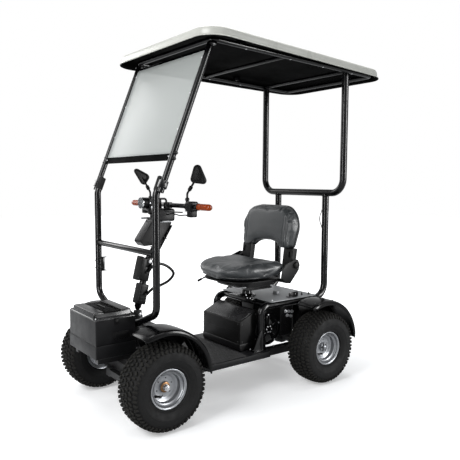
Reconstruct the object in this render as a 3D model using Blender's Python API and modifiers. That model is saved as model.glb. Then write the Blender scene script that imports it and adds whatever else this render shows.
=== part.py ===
"""An all-terrain mobility scooter with a canopy, a windscreen and a swivelling seat.

Metres, +Z up. The front faces -Y and the driver's left side is +X. Places are worked
out from the middle between the axles, and one empty then centres the whole machine.
"""
import math

import bmesh
import bpy
from mathutils import Matrix, Vector

# Clearances
GAP = 0.0003
RUNNING = 0.0005

# Wheels and ground plan
WHEEL_BASE = 0.988
TRACK = 0.656
TYRE_RADIUS = 0.191
TYRE_WIDTH = 0.155
RIM_RADIUS = 0.089
BEAD_RADIUS = 0.077
FLANGE_INSIDE = 0.052
FLANGE_OUTSIDE = 0.058
LUG_DEPTH = 0.007
LUG_STEPS = 48
WHEEL_STEPS = 16
AXLE_PIN_RADIUS = 0.0095
HUB_FACE = 0.028
HUB_BACK = -0.020
KINGPIN_X = 0.225
STEERING_ARM = 0.080

# Chassis
RAIL_X = 0.110
RAIL_SIZE = 0.040
RAIL_TOP = 0.160
RAIL_FRONT_Y = -0.545
RAIL_REAR_Y = 0.600
FLOOR_TOP = 0.195
FLOOR_SKIRT = 0.030
FLOOR_SHEET = 0.004
FLOOR_HALF_WIDTH = 0.250
FLOOR_NOSE_HALF_WIDTH = 0.100
FLOOR_NOSE_Y = -0.310
FLOOR_FRONT_Y = -0.190
FLOOR_REAR_Y = 0.202
CROSS_BAR = 0.030
TOWER_Y = -0.458
TOWER_TOP = 0.405

# Front box for the batteries
BOX_HALF_WIDTH = 0.149
BOX_FRONT_Y = -0.720
BOX_REAR_Y = -0.525
BOX_BOTTOM = 0.298
BOX_TOP = 0.468
BOX_WALL = 0.004
BOX_CORNER = 0.008
LID_TOP = 0.500
LID_HALF_WIDTH = 0.115

# Canopy frames
FRONT_POST_X = 0.295
FRONT_POST_Y = -0.502
FRONT_POST_RADIUS = 0.016
FRONT_POST_KNEE = 0.500
FRONT_POST_BEND_Z = 1.020
FRONT_POST_TOP = 1.090
FRONT_CROSS_Z = 0.763
SCREEN_TUBE_RADIUS = 0.014
SCREEN_SLOPE = 0.395
LUG_LOW = 1.045
LUG_HIGH = 1.080
SCREEN_BOTTOM = 1.030
SCREEN_PANEL_BOTTOM = 1.165
SCREEN_PANEL_TOP = 1.205
SCREEN_BAR_DROP = 0.038
REAR_TUBE_RADIUS = 0.019
REAR_UPRIGHT_X = 0.323
REAR_UPRIGHT_Y = 0.655
REAR_CROSS_Z = 1.017
DECK_TUBE_X = 0.197
DECK_TUBE_Z = 0.423
PILLAR_Y = 0.180
LOWER_BEND = 0.075
PILLAR_BEND = 0.045
GUSSET_HALF_LENGTH = 0.062
GUSSET_HEIGHT = 0.112

# Roof shell
ROOF_FRONT_Y = -0.336
ROOF_REAR_Y = 0.925
ROOF_FRONT_HALF_WIDTH = 0.448
ROOF_REAR_HALF_WIDTH = 0.389
ROOF_FRONT_Z = 1.693
ROOF_REAR_Z = 1.654
ROOF_CORNER = 0.110
ROOF_SKIRT = 0.038
ROOF_WALL = 0.003
ROOF_TUBE_RADIUS = 0.0125
ROOF_TUBE_X = 0.340
ROOF_TUBE_LIFT = 0.010
ROOF_TUBE_FRONT_Y = -0.240
ROOF_TUBE_REAR_Y = 0.850
ROOF_TUBE_CORNER = 0.030
PAD_HALF_WIDTH = 0.011
PAD_HALF_LENGTH = 0.020

# Steering
STEERING_Y = -0.437
STEERING_BALL_Z = 0.470
STEERING_BALL = 0.014
COLUMN_LEAN = math.radians(13.9)
COLUMN_RADIUS = 0.017
COVER_HALF_WIDTH = 0.032
CONDUIT_RADIUS = 0.006
TILT_PIVOT_Z = 0.690
TILLER_LEAN = math.radians(33.0)
TILLER_RADIUS = 0.016
TILLER_LENGTH = 0.225
BAR_Y = -0.265
BAR_Z = 0.960
BAR_RADIUS = 0.011
BAR_HALF_LENGTH = 0.263
BAR_LAMP_RADIUS = 0.015
BAR_LAMP_LENGTH = 0.103
CONSOLE_TOP = 0.943

# Seat
SEAT_AXIS_Y = 0.245
PEDESTAL_RADIUS = 0.0225
DECK_PLATE_TOP = 0.446
DECK_PLATE_HALF_WIDTH = 0.220
DECK_PLATE_FRONT_Y = 0.235
BRACKET_HALF_WIDTH = 0.100
BRACKET_FRONT_Y = 0.190
SWIVEL_BOTTOM = 0.500
SWIVEL_THICKNESS = 0.008
PAN_BOTTOM = 0.516
PAN_TOP = 0.556
PAN_FRONT_Y = 0.120
PAN_REAR_Y = 0.352
CUSHION_TOP = 0.645
CUSHION_FRONT_Y = -0.020
CUSHION_REAR_Y = 0.345
SEAT_HALF_WIDTH = 0.228
CUSHION_CORNER = 0.128
CUSHION_NOSE = 0.170
CUSHION_DROP = 0.032
FOLD_Y = 0.385
FOLD_Z = 0.632
BACK_TOP = 0.950
BACK_BOTTOM = 0.712
BACK_ARCH = 0.040
LEG_WIDTH = 0.093
BACK_PAD_THICKNESS = 0.062
BACK_LEAN = math.radians(8.0)

# Fenders
FENDER_RADIUS = 0.235
FENDER_LIFT = 0.018
FENDER_OUTSIDE = 0.052
FENDER_INSIDE = 0.093
FENDER_LIP = 0.022
FENDER_WALL = 0.003
FENDER_ARC = math.radians(118.0)

# Housing under the seat
HOUSING_HALF_WIDTH = 0.165
HOUSING_FRONT_Y = 0.064
HOUSING_REAR_Y = 0.185
HOUSING_KNEE_Z = 0.350
HOUSING_TOP = 0.400
MOTOR_Y = 0.250
MOTOR_Z = 0.290
MOTOR_RADIUS = 0.055
DISC_RADIUS = 0.086
DISC_X = 0.175
DISC_WINDOW = 0.017
POWER_FRONT_Y = 0.345
POWER_REAR_Y = 0.440
POWER_BOTTOM = 0.232

FRONT_AXLE_Y = -WHEEL_BASE / 2
REAR_AXLE_Y = WHEEL_BASE / 2
WHEEL_X = TRACK / 2
HUB_Z = TYRE_RADIUS
AXLE_TUBE_RADIUS = 0.028
DECK_PLATE_REAR_Y = REAR_UPRIGHT_Y - LOWER_BEND - 0.006
MIDDLE_Y = (BOX_FRONT_Y + ROOF_REAR_Y) / 2
SCREEN_BAR_Z = ROOF_FRONT_Z - SCREEN_BAR_DROP
SCREEN_X = FRONT_POST_X + FRONT_POST_RADIUS + SCREEN_TUBE_RADIUS + 2 * GAP
TILT_PIVOT_Y = STEERING_Y + (TILT_PIVOT_Z - STEERING_BALL_Z) * math.tan(COLUMN_LEAN)

# How far in from the cushion's edge, and what share of its height, each ring lies
CUSHION_RINGS = [
    (0.010, 0.00),
    (0.001, 0.18),
    (0.000, 0.40),
    (0.006, 0.68),
    (0.020, 0.90),
    (0.044, 1.00),
]

# How far in from the roof's edge, and how far above it, each ring of its surface lies
ROOF_RINGS = [
    (0.000, 0.000),
    (0.006, 0.004),
    (0.010, ROOF_SKIRT - 0.010),
    (0.024, ROOF_SKIRT + 0.006),
    (0.080, ROOF_SKIRT + 0.014),
    (0.200, ROOF_SKIRT + 0.022),
]


for old in list(bpy.data.objects):
    bpy.data.objects.remove(old, do_unlink=True)

MODEL = bpy.data.collections.new("all_terrain_mobility_scooter")
CUTTERS = bpy.data.collections.new("cutters")
bpy.context.scene.collection.children.link(MODEL)
bpy.context.scene.collection.children.link(CUTTERS)


def paint(name, colour, roughness, metallic=0.0):
    """A plain Principled material."""
    material = bpy.data.materials.new(name)
    material.use_nodes = True
    shader = material.node_tree.nodes["Principled BSDF"]
    shader.inputs["Base Color"].default_value = (*colour, 1.0)
    shader.inputs["Roughness"].default_value = roughness
    shader.inputs["Metallic"].default_value = metallic
    return material


BLACK_PAINT = paint("black powder coat", (0.020, 0.020, 0.022), 0.35)
BLACK_PLASTIC = paint("black moulded plastic", (0.030, 0.030, 0.033), 0.45)
GREY_PLASTIC = paint("charcoal moulded plastic", (0.055, 0.056, 0.060), 0.50)
WHITE_ROOF = paint("off-white moulded acrylic", (0.800, 0.810, 0.800), 0.35)
RUBBER = paint("tyre rubber", (0.028, 0.028, 0.030), 0.80)
SILVER = paint("silver painted steel", (0.560, 0.565, 0.575), 0.35, 0.8)
STEEL = paint("bright zinc steel", (0.600, 0.600, 0.600), 0.30, 1.0)
VINYL = paint("dark grey vinyl", (0.085, 0.087, 0.092), 0.55)
PLATE_GREY = paint("light grey sheet", (0.520, 0.530, 0.540), 0.45)
AMBER = paint("amber lens", (0.800, 0.170, 0.020), 0.20)
CLEAR = paint("clear acrylic", (0.800, 0.830, 0.850), 0.08)


def add_object(name, mesh, material, collection=MODEL):
    """Link a mesh as a named object with one material."""
    thing = bpy.data.objects.new(name, mesh)
    collection.objects.link(thing)
    if material:
        mesh.materials.clear()
        mesh.materials.append(material)
    return thing


def bake(thing):
    """Turn an object with modifiers, or a curve, into a plain mesh in place."""
    bpy.context.view_layer.update()
    graph = bpy.context.evaluated_depsgraph_get()
    mesh = bpy.data.meshes.new_from_object(thing.evaluated_get(graph))
    mesh.transform(thing.matrix_world)
    solid = bmesh.new()
    solid.from_mesh(mesh)
    bmesh.ops.remove_doubles(solid, verts=solid.verts, dist=0.00001)
    bmesh.ops.recalc_face_normals(solid, faces=solid.faces)
    solid.to_mesh(mesh)
    solid.free()
    name = thing.name
    material = thing.active_material
    collection = thing.users_collection[0]
    bpy.data.objects.remove(thing, do_unlink=True)
    baked = add_object(name, mesh, material, collection)
    baked.name = name
    return baked


def smooth(thing):
    """Shade round surfaces smooth and keep the sharp edges."""
    thing.data.shade_smooth()
    thing.data.set_sharp_from_angle(angle=math.radians(35))
    return thing


def add_bevel(thing, width, segments=2, angle=40.0):
    """Round an object's edges."""
    bevel = thing.modifiers.new("edges", "BEVEL")
    bevel.width = width
    bevel.segments = segments
    bevel.limit_method = "ANGLE"
    bevel.angle_limit = math.radians(angle)
    return thing


def box(name, low, high, material=None, bevel=0.0, segments=2):
    """A block between two corners."""
    low = Vector(low)
    high = Vector(high)
    shape = bmesh.new()
    bmesh.ops.create_cube(shape, size=1.0)
    for vert in shape.verts:
        vert.co = Vector(((vert.co[i] + 0.5) * (high[i] - low[i]) + low[i]) for i in range(3))
    mesh = bpy.data.meshes.new(name)
    shape.to_mesh(mesh)
    shape.free()
    thing = add_object(name, mesh, material)
    if bevel:
        add_bevel(thing, bevel, segments)
        thing = bake(thing)
    return thing


AXIS_TURN = {
    "X": Matrix.Rotation(math.radians(90), 4, "Y"),
    "-X": Matrix.Rotation(math.radians(-90), 4, "Y"),
    "Y": Matrix.Rotation(math.radians(-90), 4, "X"),
    "-Y": Matrix.Rotation(math.radians(90), 4, "X"),
    "Z": Matrix.Identity(4),
}


def turned(name, profile, centre, axis="Z", material=None, steps=WHEEL_STEPS, ring=False,
           angle=2 * math.pi):
    """A turned solid: radius and height pairs down its outer side, top to bottom."""
    mesh = bpy.data.meshes.new(name)
    verts = [(radius, 0.0, height) for radius, height in profile]
    edges = [(i, i + 1) for i in range(len(verts) - 1)]
    if ring:
        edges.append((len(verts) - 1, 0))
    mesh.from_pydata(verts, edges, [])
    thing = add_object(name, mesh, material)
    screw = thing.modifiers.new("turn", "SCREW")
    screw.angle = angle
    screw.steps = steps
    screw.render_steps = steps
    screw.use_merge_vertices = True
    screw.merge_threshold = 0.00001
    thing.matrix_world = Matrix.Translation(Vector(centre)) @ AXIS_TURN[axis]
    return bake(thing)


def rod(name, start, end, radius, material=None, steps=10):
    """A straight round bar between two points."""
    start = Vector(start)
    end = Vector(end)
    along = end - start
    shape = bmesh.new()
    bmesh.ops.create_cone(shape, cap_ends=True, segments=steps, radius1=radius,
                          radius2=radius, depth=along.length)
    turn = along.to_track_quat("Z", "Y").to_matrix().to_4x4()
    shape.transform(Matrix.Translation((start + end) / 2) @ turn)
    mesh = bpy.data.meshes.new(name)
    shape.to_mesh(mesh)
    shape.free()
    return add_object(name, mesh, material)


def rounded_path(points, bend, steps=3):
    """The corner points of a bent tube, each inner corner turned into an arc."""
    points = [Vector(point) for point in points]
    path = [points[0]]
    for before, corner, after in zip(points, points[1:], points[2:]):
        back = (before - corner).normalized()
        ahead = (after - corner).normalized()
        half = back.angle(ahead) / 2
        reach = bend / math.tan(half)
        centre = corner + (back + ahead).normalized() * (bend / math.sin(half))
        first = corner + back * reach - centre
        last = corner + ahead * reach - centre
        sweep = first.angle(last)
        for i in range(steps + 1):
            part = i / steps
            share = first * math.sin((1 - part) * sweep) + last * math.sin(part * sweep)
            path.append(centre + share / math.sin(sweep))
    path.append(points[-1])
    return path


def tube(name, path, radius, material=None, resolution=2, closed=False):
    """A bent tube along a path, as a mesh."""
    curve = bpy.data.curves.new(name, "CURVE")
    curve.dimensions = "3D"
    curve.bevel_depth = radius
    curve.bevel_resolution = resolution
    curve.use_fill_caps = not closed
    spline = curve.splines.new("POLY")
    spline.points.add(len(path) - 1)
    for point, place in zip(spline.points, path):
        point.co = (*place, 1.0)
    spline.use_cyclic_u = closed
    thing = bpy.data.objects.new(name, curve)
    MODEL.objects.link(thing)
    if material:
        curve.materials.append(material)
    return bake(thing)


def slab(name, outline, thickness, place, material=None):
    """A flat outline made solid, its thickness centred on the outline's plane."""
    curve = bpy.data.curves.new(name, "CURVE")
    curve.dimensions = "2D"
    curve.fill_mode = "BOTH"
    curve.extrude = thickness / 2
    spline = curve.splines.new("POLY")
    spline.points.add(len(outline) - 1)
    for point, (across, along) in zip(spline.points, outline):
        point.co = (across, along, 0.0, 1.0)
    spline.use_cyclic_u = True
    thing = bpy.data.objects.new(name, curve)
    MODEL.objects.link(thing)
    if material:
        curve.materials.append(material)
    thing.matrix_world = place
    return bake(thing)


def lying(height):
    """The place of an outline that lies flat, its points being X and Y."""
    return Matrix.Translation((0.0, 0.0, height))


def standing(depth):
    """The place of an outline that faces the front, its points being X and Z."""
    return Matrix.Translation((0.0, depth, 0.0)) @ Matrix.Rotation(math.radians(90), 4, "X")


def sideways(across):
    """The place of an outline that faces the side, its points being Y and Z."""
    turn = Matrix(((0, 0, 1, 0), (1, 0, 0, 0), (0, 1, 0, 0), (0, 0, 0, 1)))
    return Matrix.Translation((across, 0.0, 0.0)) @ turn


def boolean(thing, others, operation):
    """Join or cut an object with others, which are used up."""
    for other in others:
        if operation == "DIFFERENCE":
            MODEL.objects.unlink(other)
            CUTTERS.objects.link(other)
            other.hide_render = True
            other.display_type = "WIRE"
        step = thing.modifiers.new("shape", "BOOLEAN")
        step.operation = operation
        step.solver = "EXACT"
        step.object = other
    thing = bake(thing)
    for other in others:
        bpy.data.objects.remove(other, do_unlink=True)
    return thing


def fuse(name, pieces, material):
    """One closed body from overlapping pieces."""
    whole = boolean(pieces[0], pieces[1:], "UNION")
    whole.name = name
    whole.data.materials.clear()
    whole.data.materials.append(material)
    return smooth(whole)


def cut(thing, cutters):
    """Cut an object with cutters."""
    return boolean(thing, cutters, "DIFFERENCE")


def lean(thing, angle, pivot):
    """Turn a solid about a line along X through a pivot."""
    spot = Matrix.Translation(Vector(pivot))
    thing.data.transform(spot @ Matrix.Rotation(angle, 4, "X") @ spot.inverted())
    return thing


def pivot_empty(name, place, parent=None):
    """An empty on a joint's axis, which carries the pieces that move there."""
    empty = bpy.data.objects.new(name, None)
    MODEL.objects.link(empty)
    empty["spot"] = tuple(place)
    empty.location = Vector(place)
    if parent:
        empty.parent = parent
        empty.location = Vector(place) - Vector(parent["spot"])
    return empty


def hang(pieces, empty):
    """Parent pieces to an empty, with their origins at it."""
    for piece in pieces:
        piece.data.transform(Matrix.Translation(-Vector(empty["spot"])))
        piece.parent = empty
        piece.location = (0.0, 0.0, 0.0)


def mirrored(points):
    """An outline's right half followed by its mirror image."""
    return points + [(-across, along) for across, along in reversed(points)]


def corner_arc(centre, radius, start, end, steps=4):
    """Points round a corner, angles in degrees."""
    arc = []
    for i in range(steps + 1):
        angle = math.radians(start + (end - start) * i / steps)
        arc.append((centre[0] + radius * math.cos(angle), centre[1] + radius * math.sin(angle)))
    return arc


def rounded_plan(half_width, front, rear, radius, steps=2):
    """A rectangle with round corners, as X and Y."""
    right = corner_arc((half_width - radius, front + radius), radius, -90, 0, steps)
    right += corner_arc((half_width - radius, rear - radius), radius, 0, 90, steps)
    return mirrored(right)


def tyre_section(step):
    """The tyre's section at one step round it: a lug on one side is a gap on the other."""
    half = TYRE_WIDTH / 2
    bead = FLANGE_INSIDE - GAP
    clear = RIM_RADIUS + RUNNING
    section = []
    for side in (1, -1):
        gap = LUG_DEPTH if (step % 2 == 0) == (side < 0) else 0.0
        rows = [
            (BEAD_RADIUS, bead),
            (clear, bead),
            (clear + 0.008, half - 0.008),
            (TYRE_RADIUS - 0.050, half),
            (TYRE_RADIUS - 0.018 - gap / 2, half - 0.004),
            (TYRE_RADIUS - 0.004 - gap, half - 0.018),
            (TYRE_RADIUS - gap, 0.008),
        ]
        section += [(radius, side * height) for radius, height in rows[::side]]
    return section


def make_tyre(name, side, axle_y):
    """A low-pressure tyre with staggered lugs on both sides of its tread."""
    shape = bmesh.new()
    rows = []
    for step in range(LUG_STEPS):
        angle = 2 * math.pi * step / LUG_STEPS
        rows.append([shape.verts.new((side * WHEEL_X + height, axle_y + radius * math.cos(angle),
                                      HUB_Z + radius * math.sin(angle)))
                     for radius, height in tyre_section(step)])
    for row, following in zip(rows, rows[1:] + rows[:1]):
        for i in range(len(row)):
            j = (i + 1) % len(row)
            shape.faces.new((row[i], row[j], following[j], following[i]))
    bmesh.ops.recalc_face_normals(shape, faces=shape.faces)
    mesh = bpy.data.meshes.new(name)
    shape.to_mesh(mesh)
    shape.free()
    return smooth(add_object(name, mesh, RUBBER))


def make_rim(name, side, axle_y, shaft_end=None):
    """A pressed steel rim with a stepped dish and a hub."""
    seat = BEAD_RADIUS - GAP
    bore = AXLE_PIN_RADIUS + RUNNING
    profile = [
        (RIM_RADIUS, FLANGE_OUTSIDE),
        (RIM_RADIUS, FLANGE_INSIDE),
        (seat, FLANGE_INSIDE),
        (seat, -FLANGE_INSIDE),
        (RIM_RADIUS, -FLANGE_INSIDE),
        (RIM_RADIUS, -FLANGE_OUTSIDE),
        (0.080, -FLANGE_OUTSIDE + 0.004),
        (0.070, -0.040),
        (0.070, 0.006),
        (0.024, 0.006),
        (0.024, HUB_BACK),
        (bore, HUB_BACK),
        (bore, HUB_FACE),
        (0.022, HUB_FACE),
        (0.024, 0.016),
        (0.050, 0.013),
        (0.056, 0.020),
        (0.062, 0.020),
        (0.067, 0.038),
        (0.073, 0.040),
        (0.080, FLANGE_OUTSIDE - 0.002),
    ]
    place = (side * WHEEL_X, axle_y, HUB_Z)
    axis = "X" if side > 0 else "-X"
    if shaft_end is None:
        return smooth(turned(name, profile, place, axis, SILVER, WHEEL_STEPS, True))
    live = [point for point in profile if point[0] != bore]
    rim = turned(name, live, place, axis, SILVER, WHEEL_STEPS, True)
    hub = turned("hub", [(0.0, HUB_FACE + 0.012), (0.008, HUB_FACE + 0.012), (0.012, HUB_FACE),
                         (0.0235, HUB_FACE), (0.0235, HUB_BACK + 0.001),
                         (AXLE_PIN_RADIUS, HUB_BACK + 0.001),
                         (AXLE_PIN_RADIUS, shaft_end - WHEEL_X), (0.0, shaft_end - WHEEL_X)],
                 place, axis, SILVER, WHEEL_STEPS)
    return fuse(name, [rim, hub], SILVER)


def make_fender(name, side, axle_y):
    """An arched mudguard from in front of the tyre's top round to its back."""
    inner = FENDER_RADIUS
    profile = [
        (inner - FENDER_LIP, FENDER_OUTSIDE),
        (inner - 0.006, FENDER_OUTSIDE),
        (inner, FENDER_OUTSIDE - 0.008),
        (inner, -FENDER_INSIDE + 0.008),
        (inner - 0.006, -FENDER_INSIDE),
        (inner - FENDER_LIP, -FENDER_INSIDE),
    ]
    mesh = bpy.data.meshes.new(name)
    mesh.from_pydata([(r, 0.0, h) for r, h in profile], [(i, i + 1) for i in range(5)], [])
    arch = add_object(name, mesh, BLACK_PLASTIC)
    screw = arch.modifiers.new("arch", "SCREW")
    screw.angle = FENDER_ARC
    screw.steps = 12
    screw.render_steps = 12
    screw.merge_threshold = 0.00001
    wall = arch.modifiers.new("wall", "SOLIDIFY")
    wall.thickness = FENDER_WALL
    wall.offset = 0.0
    turn = Matrix(((0, 0, side, 0), (1, 0, 0, 0), (0, 1, 0, 0), (0, 0, 0, 1)))
    arch.matrix_world = Matrix.Translation((side * WHEEL_X, axle_y, HUB_Z + FENDER_LIFT)) @ turn
    return smooth(bake(arch))


def make_knuckle(name, side):
    """A kingpin boss with its stub axle, nut, steering arm and fender stay."""
    x = side * KINGPIN_X
    y = FRONT_AXLE_Y
    out = side * (WHEEL_X + HUB_FACE)
    boss = rod("boss", (x, y, HUB_Z - 0.040), (x, y, HUB_Z + 0.044), 0.016, None, 12)
    pin = rod("pin", (x, y, HUB_Z - 0.052), (x, y, HUB_Z + 0.064), 0.006)
    stub = rod("stub", (x, y, HUB_Z), (out + side * 0.012, y, HUB_Z), AXLE_PIN_RADIUS)
    collar = rod("collar", (x, y, HUB_Z), (side * (WHEEL_X + HUB_BACK - RUNNING), y, HUB_Z),
                 0.014, None, 12)
    nut = rod("nut", (out + side * RUNNING, y, HUB_Z), (out + side * 0.008, y, HUB_Z), 0.014,
              None, 6)
    arm = box("arm", (x - 0.009, y, HUB_Z + 0.032), (x + 0.009, y + STEERING_ARM, HUB_Z + 0.041))
    eye = rod("eye", (x, y + STEERING_ARM, HUB_Z + 0.0325),
              (x, y + STEERING_ARM, HUB_Z + 0.0405), 0.011)
    ball = rod("ball", (x, y + STEERING_ARM, HUB_Z + 0.005),
               (x, y + STEERING_ARM, HUB_Z + 0.036), 0.005)
    edge = side * (WHEEL_X - FENDER_INSIDE) - side * (FENDER_WALL / 2 + GAP)
    top = HUB_Z + FENDER_LIFT + FENDER_RADIUS - FENDER_WALL
    low_x = min(edge, edge - side * 0.004)
    high_x = max(edge, edge - side * 0.004)
    stay = box("stay", (low_x, y - 0.015, HUB_Z + 0.058), (high_x, y + 0.015, top))
    foot = box("foot", (min(x - 0.009, low_x), y - 0.015, HUB_Z + 0.058),
               (max(x + 0.009, high_x), y + 0.015, HUB_Z + 0.063))
    return fuse(name, [boss, pin, stub, collar, nut, arm, eye, ball, foot, stay], STEEL)


def make_tie_rod():
    """A track rod with an eye at each steering arm and one under the column's arm."""
    y = FRONT_AXLE_Y + STEERING_ARM
    z = HUB_Z + 0.014
    tab_y = STEERING_Y + STEERING_ARM
    bar = rod("bar", (-KINGPIN_X, y, z), (KINGPIN_X, y, z), 0.006)
    tab = box("tab", (-0.010, y, z - 0.0045), (0.010, tab_y, z + 0.0045))
    eyes = [(-KINGPIN_X, y), (KINGPIN_X, y), (0.0, tab_y)]
    rings = [rod("ring", (a, b, z - 0.0065), (a, b, z + 0.0065), 0.012, None, 12) for a, b in eyes]
    holes = [rod("hole", (a, b, z - 0.02), (a, b, z + 0.02), 0.005 + RUNNING) for a, b in eyes]
    whole = fuse("tie_rod", [bar, tab] + rings, STEEL)
    return smooth(cut(whole, holes))


def make_front_axle():
    """A square axle beam whose forked ends hold the kingpins."""
    y = FRONT_AXLE_Y
    low = RAIL_TOP + GAP
    pieces = [box("beam", (-0.190, y - 0.020, low), (0.190, y + 0.020, low + 0.040))]
    for side in (-1, 1):
        x = side * KINGPIN_X
        inner = side * 0.185
        web = sorted((inner, side * 0.197))
        fork = sorted((inner, x + side * 0.014))
        pieces.append(box("web", (web[0], y - 0.018, HUB_Z - 0.0525),
                          (web[1], y + 0.018, HUB_Z + 0.0525)))
        for height in (HUB_Z - 0.0525, HUB_Z + 0.0445):
            pieces.append(box("fork", (fork[0], y - 0.016, height),
                              (fork[1], y + 0.016, height + 0.008)))
    holes = [rod("hole", (side * KINGPIN_X, y, HUB_Z - 0.07), (side * KINGPIN_X, y, HUB_Z + 0.07),
                 0.006 + RUNNING) for side in (-1, 1)]
    return smooth(cut(fuse("front_axle", pieces, STEEL), holes))


def make_chassis_frame():
    """Two box rails with cross bars, the front tower and the rear stand for the deck."""
    pieces = []
    half = RAIL_SIZE / 2
    for side in (-1, 1):
        x = side * RAIL_X
        pieces.append(box("rail", (x - half, RAIL_FRONT_Y, RAIL_TOP - RAIL_SIZE),
                          (x + half, RAIL_REAR_Y, RAIL_TOP)))
        pieces.append(box("upright", (x - 0.015, TOWER_Y - 0.010, RAIL_TOP - 0.010),
                          (x + 0.015, TOWER_Y + 0.010, TOWER_TOP + 0.005)))
        pieces.append(box("arm", (x - 0.0145, BOX_FRONT_Y + 0.020, BOX_BOTTOM - 0.028),
                          (x + 0.0145, TOWER_Y, BOX_BOTTOM - GAP)))
        pieces.append(box("saddle", (x - 0.016, REAR_AXLE_Y - 0.020, RAIL_TOP - 0.010),
                          (x + 0.016, REAR_AXLE_Y + 0.020, HUB_Z - AXLE_TUBE_RADIUS - GAP)))
        pieces.append(box("stand", (x - 0.015, 0.545, RAIL_TOP - 0.010),
                          (x + 0.015, 0.575, DECK_TUBE_Z - REAR_TUBE_RADIUS - 0.020)))
    for y in (RAIL_FRONT_Y + 0.015, 0.0, RAIL_REAR_Y - 0.015):
        pieces.append(box("cross", (-RAIL_X, y - 0.015, RAIL_TOP - 0.035),
                          (RAIL_X, y + 0.015, RAIL_TOP - 0.005)))
    for y in (FLOOR_FRONT_Y + 0.040, PILLAR_Y):
        pieces.append(box("floor_bar", (-0.225, y - CROSS_BAR / 2, RAIL_TOP - 0.006),
                          (0.225, y + CROSS_BAR / 2, FLOOR_TOP - FLOOR_SHEET - GAP)))
    beam_top = DECK_TUBE_Z - REAR_TUBE_RADIUS - GAP
    pieces.append(box("deck_beam", (-0.215, 0.542, beam_top - 0.030), (0.215, 0.578, beam_top)))
    pieces.append(box("tower_plate", (-0.135, -0.520, TOWER_TOP - 0.008),
                      (0.135, -0.400, TOWER_TOP)))
    pieces.append(rod("bearing", (0.0, STEERING_Y, TOWER_TOP - 0.030),
                      (0.0, STEERING_Y, TOWER_TOP + 0.025), 0.024, None, 16))
    hole = rod("hole", (0.0, STEERING_Y, 0.3), (0.0, STEERING_Y, 0.5), 0.012 + RUNNING, None, 16)
    return smooth(cut(fuse("chassis_frame", pieces, BLACK_PAINT), [hole]))


def floor_outline(inset):
    """The floor's plan, drawn in by an inset."""
    nose = FLOOR_NOSE_HALF_WIDTH - inset
    wide = FLOOR_HALF_WIDTH - inset
    right = [
        (nose, FLOOR_NOSE_Y + inset),
        (nose, FLOOR_FRONT_Y - 0.040 + inset),
        (wide, FLOOR_FRONT_Y + inset),
        (wide, FLOOR_REAR_Y - inset),
    ]
    return mirrored(right)


def make_floor_pan():
    """A foot board folded down at its edges."""
    skirt_middle = FLOOR_TOP - FLOOR_SKIRT / 2
    sheet = slab("floor_pan", floor_outline(0.0), FLOOR_SKIRT, lying(skirt_middle), GREY_PLASTIC)
    under = slab("under", floor_outline(FLOOR_SHEET), FLOOR_SKIRT,
                 lying(skirt_middle - FLOOR_SHEET))
    return smooth(cut(sheet, [under]))


def make_battery_box():
    """An open-topped moulded box with its tray."""
    low = (-BOX_HALF_WIDTH, BOX_FRONT_Y, BOX_BOTTOM)
    high = (BOX_HALF_WIDTH, BOX_REAR_Y, BOX_TOP + 2 * BOX_CORNER)
    body = box("battery_box", low, high, GREY_PLASTIC, BOX_CORNER)
    wall = BOX_WALL
    inside = box("inside", (low[0] + wall, low[1] + wall, low[2] + wall),
                 (high[0] - wall, high[1] - wall, high[2] + wall))
    above = box("above", (low[0] - wall, low[1] - wall, BOX_TOP),
                (high[0] + wall, high[1] + wall, high[2] + 2 * wall))
    return smooth(cut(body, [above, inside]))


def make_batteries():
    """Two batteries as one plain block."""
    space = BOX_WALL + 0.006
    return box("battery_block", (-BOX_HALF_WIDTH + space, BOX_FRONT_Y + space,
                                 BOX_BOTTOM + BOX_WALL + GAP),
               (BOX_HALF_WIDTH - space, BOX_REAR_Y - space, BOX_TOP - 0.010), BLACK_PLASTIC)


def make_battery_lid():
    """A stepped lid with a channel across it."""
    plan = rounded_plan(BOX_HALF_WIDTH, BOX_FRONT_Y, BOX_REAR_Y, BOX_CORNER)
    skirt = slab("skirt", plan, 0.006 - GAP, lying(BOX_TOP + (0.006 + GAP) / 2))
    crown = box("crown", (-LID_HALF_WIDTH, BOX_FRONT_Y + 0.004, BOX_TOP + 0.003),
                (LID_HALF_WIDTH, BOX_REAR_Y - 0.004, LID_TOP), None, 0.006)
    middle = (BOX_FRONT_Y + BOX_REAR_Y) / 2
    channel = box("channel", (-0.2, middle - 0.035, LID_TOP - 0.010),
                  (0.2, middle + 0.035, LID_TOP + 0.01))
    return smooth(cut(fuse("battery_lid", [skirt, crown], GREY_PLASTIC), [channel]))


def screen_y(z):
    """How far forward the windscreen lies at a height."""
    return FRONT_POST_Y + (z - FRONT_POST_BEND_Z) * SCREEN_SLOPE


def sloping(name, low_x, high_x, low_z, high_z, front, back):
    """A block in the windscreen's plane, its heights measured before it is leaned."""
    start = (0.0, FRONT_POST_Y, FRONT_POST_BEND_Z)
    length = math.hypot(1.0, SCREEN_SLOPE)
    piece = box(name, (low_x, start[1] + front, start[2] + (low_z - start[2]) * length),
                (high_x, start[1] + back, start[2] + (high_z - start[2]) * length))
    return lean(piece, -math.atan(SCREEN_SLOPE), start)


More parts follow.
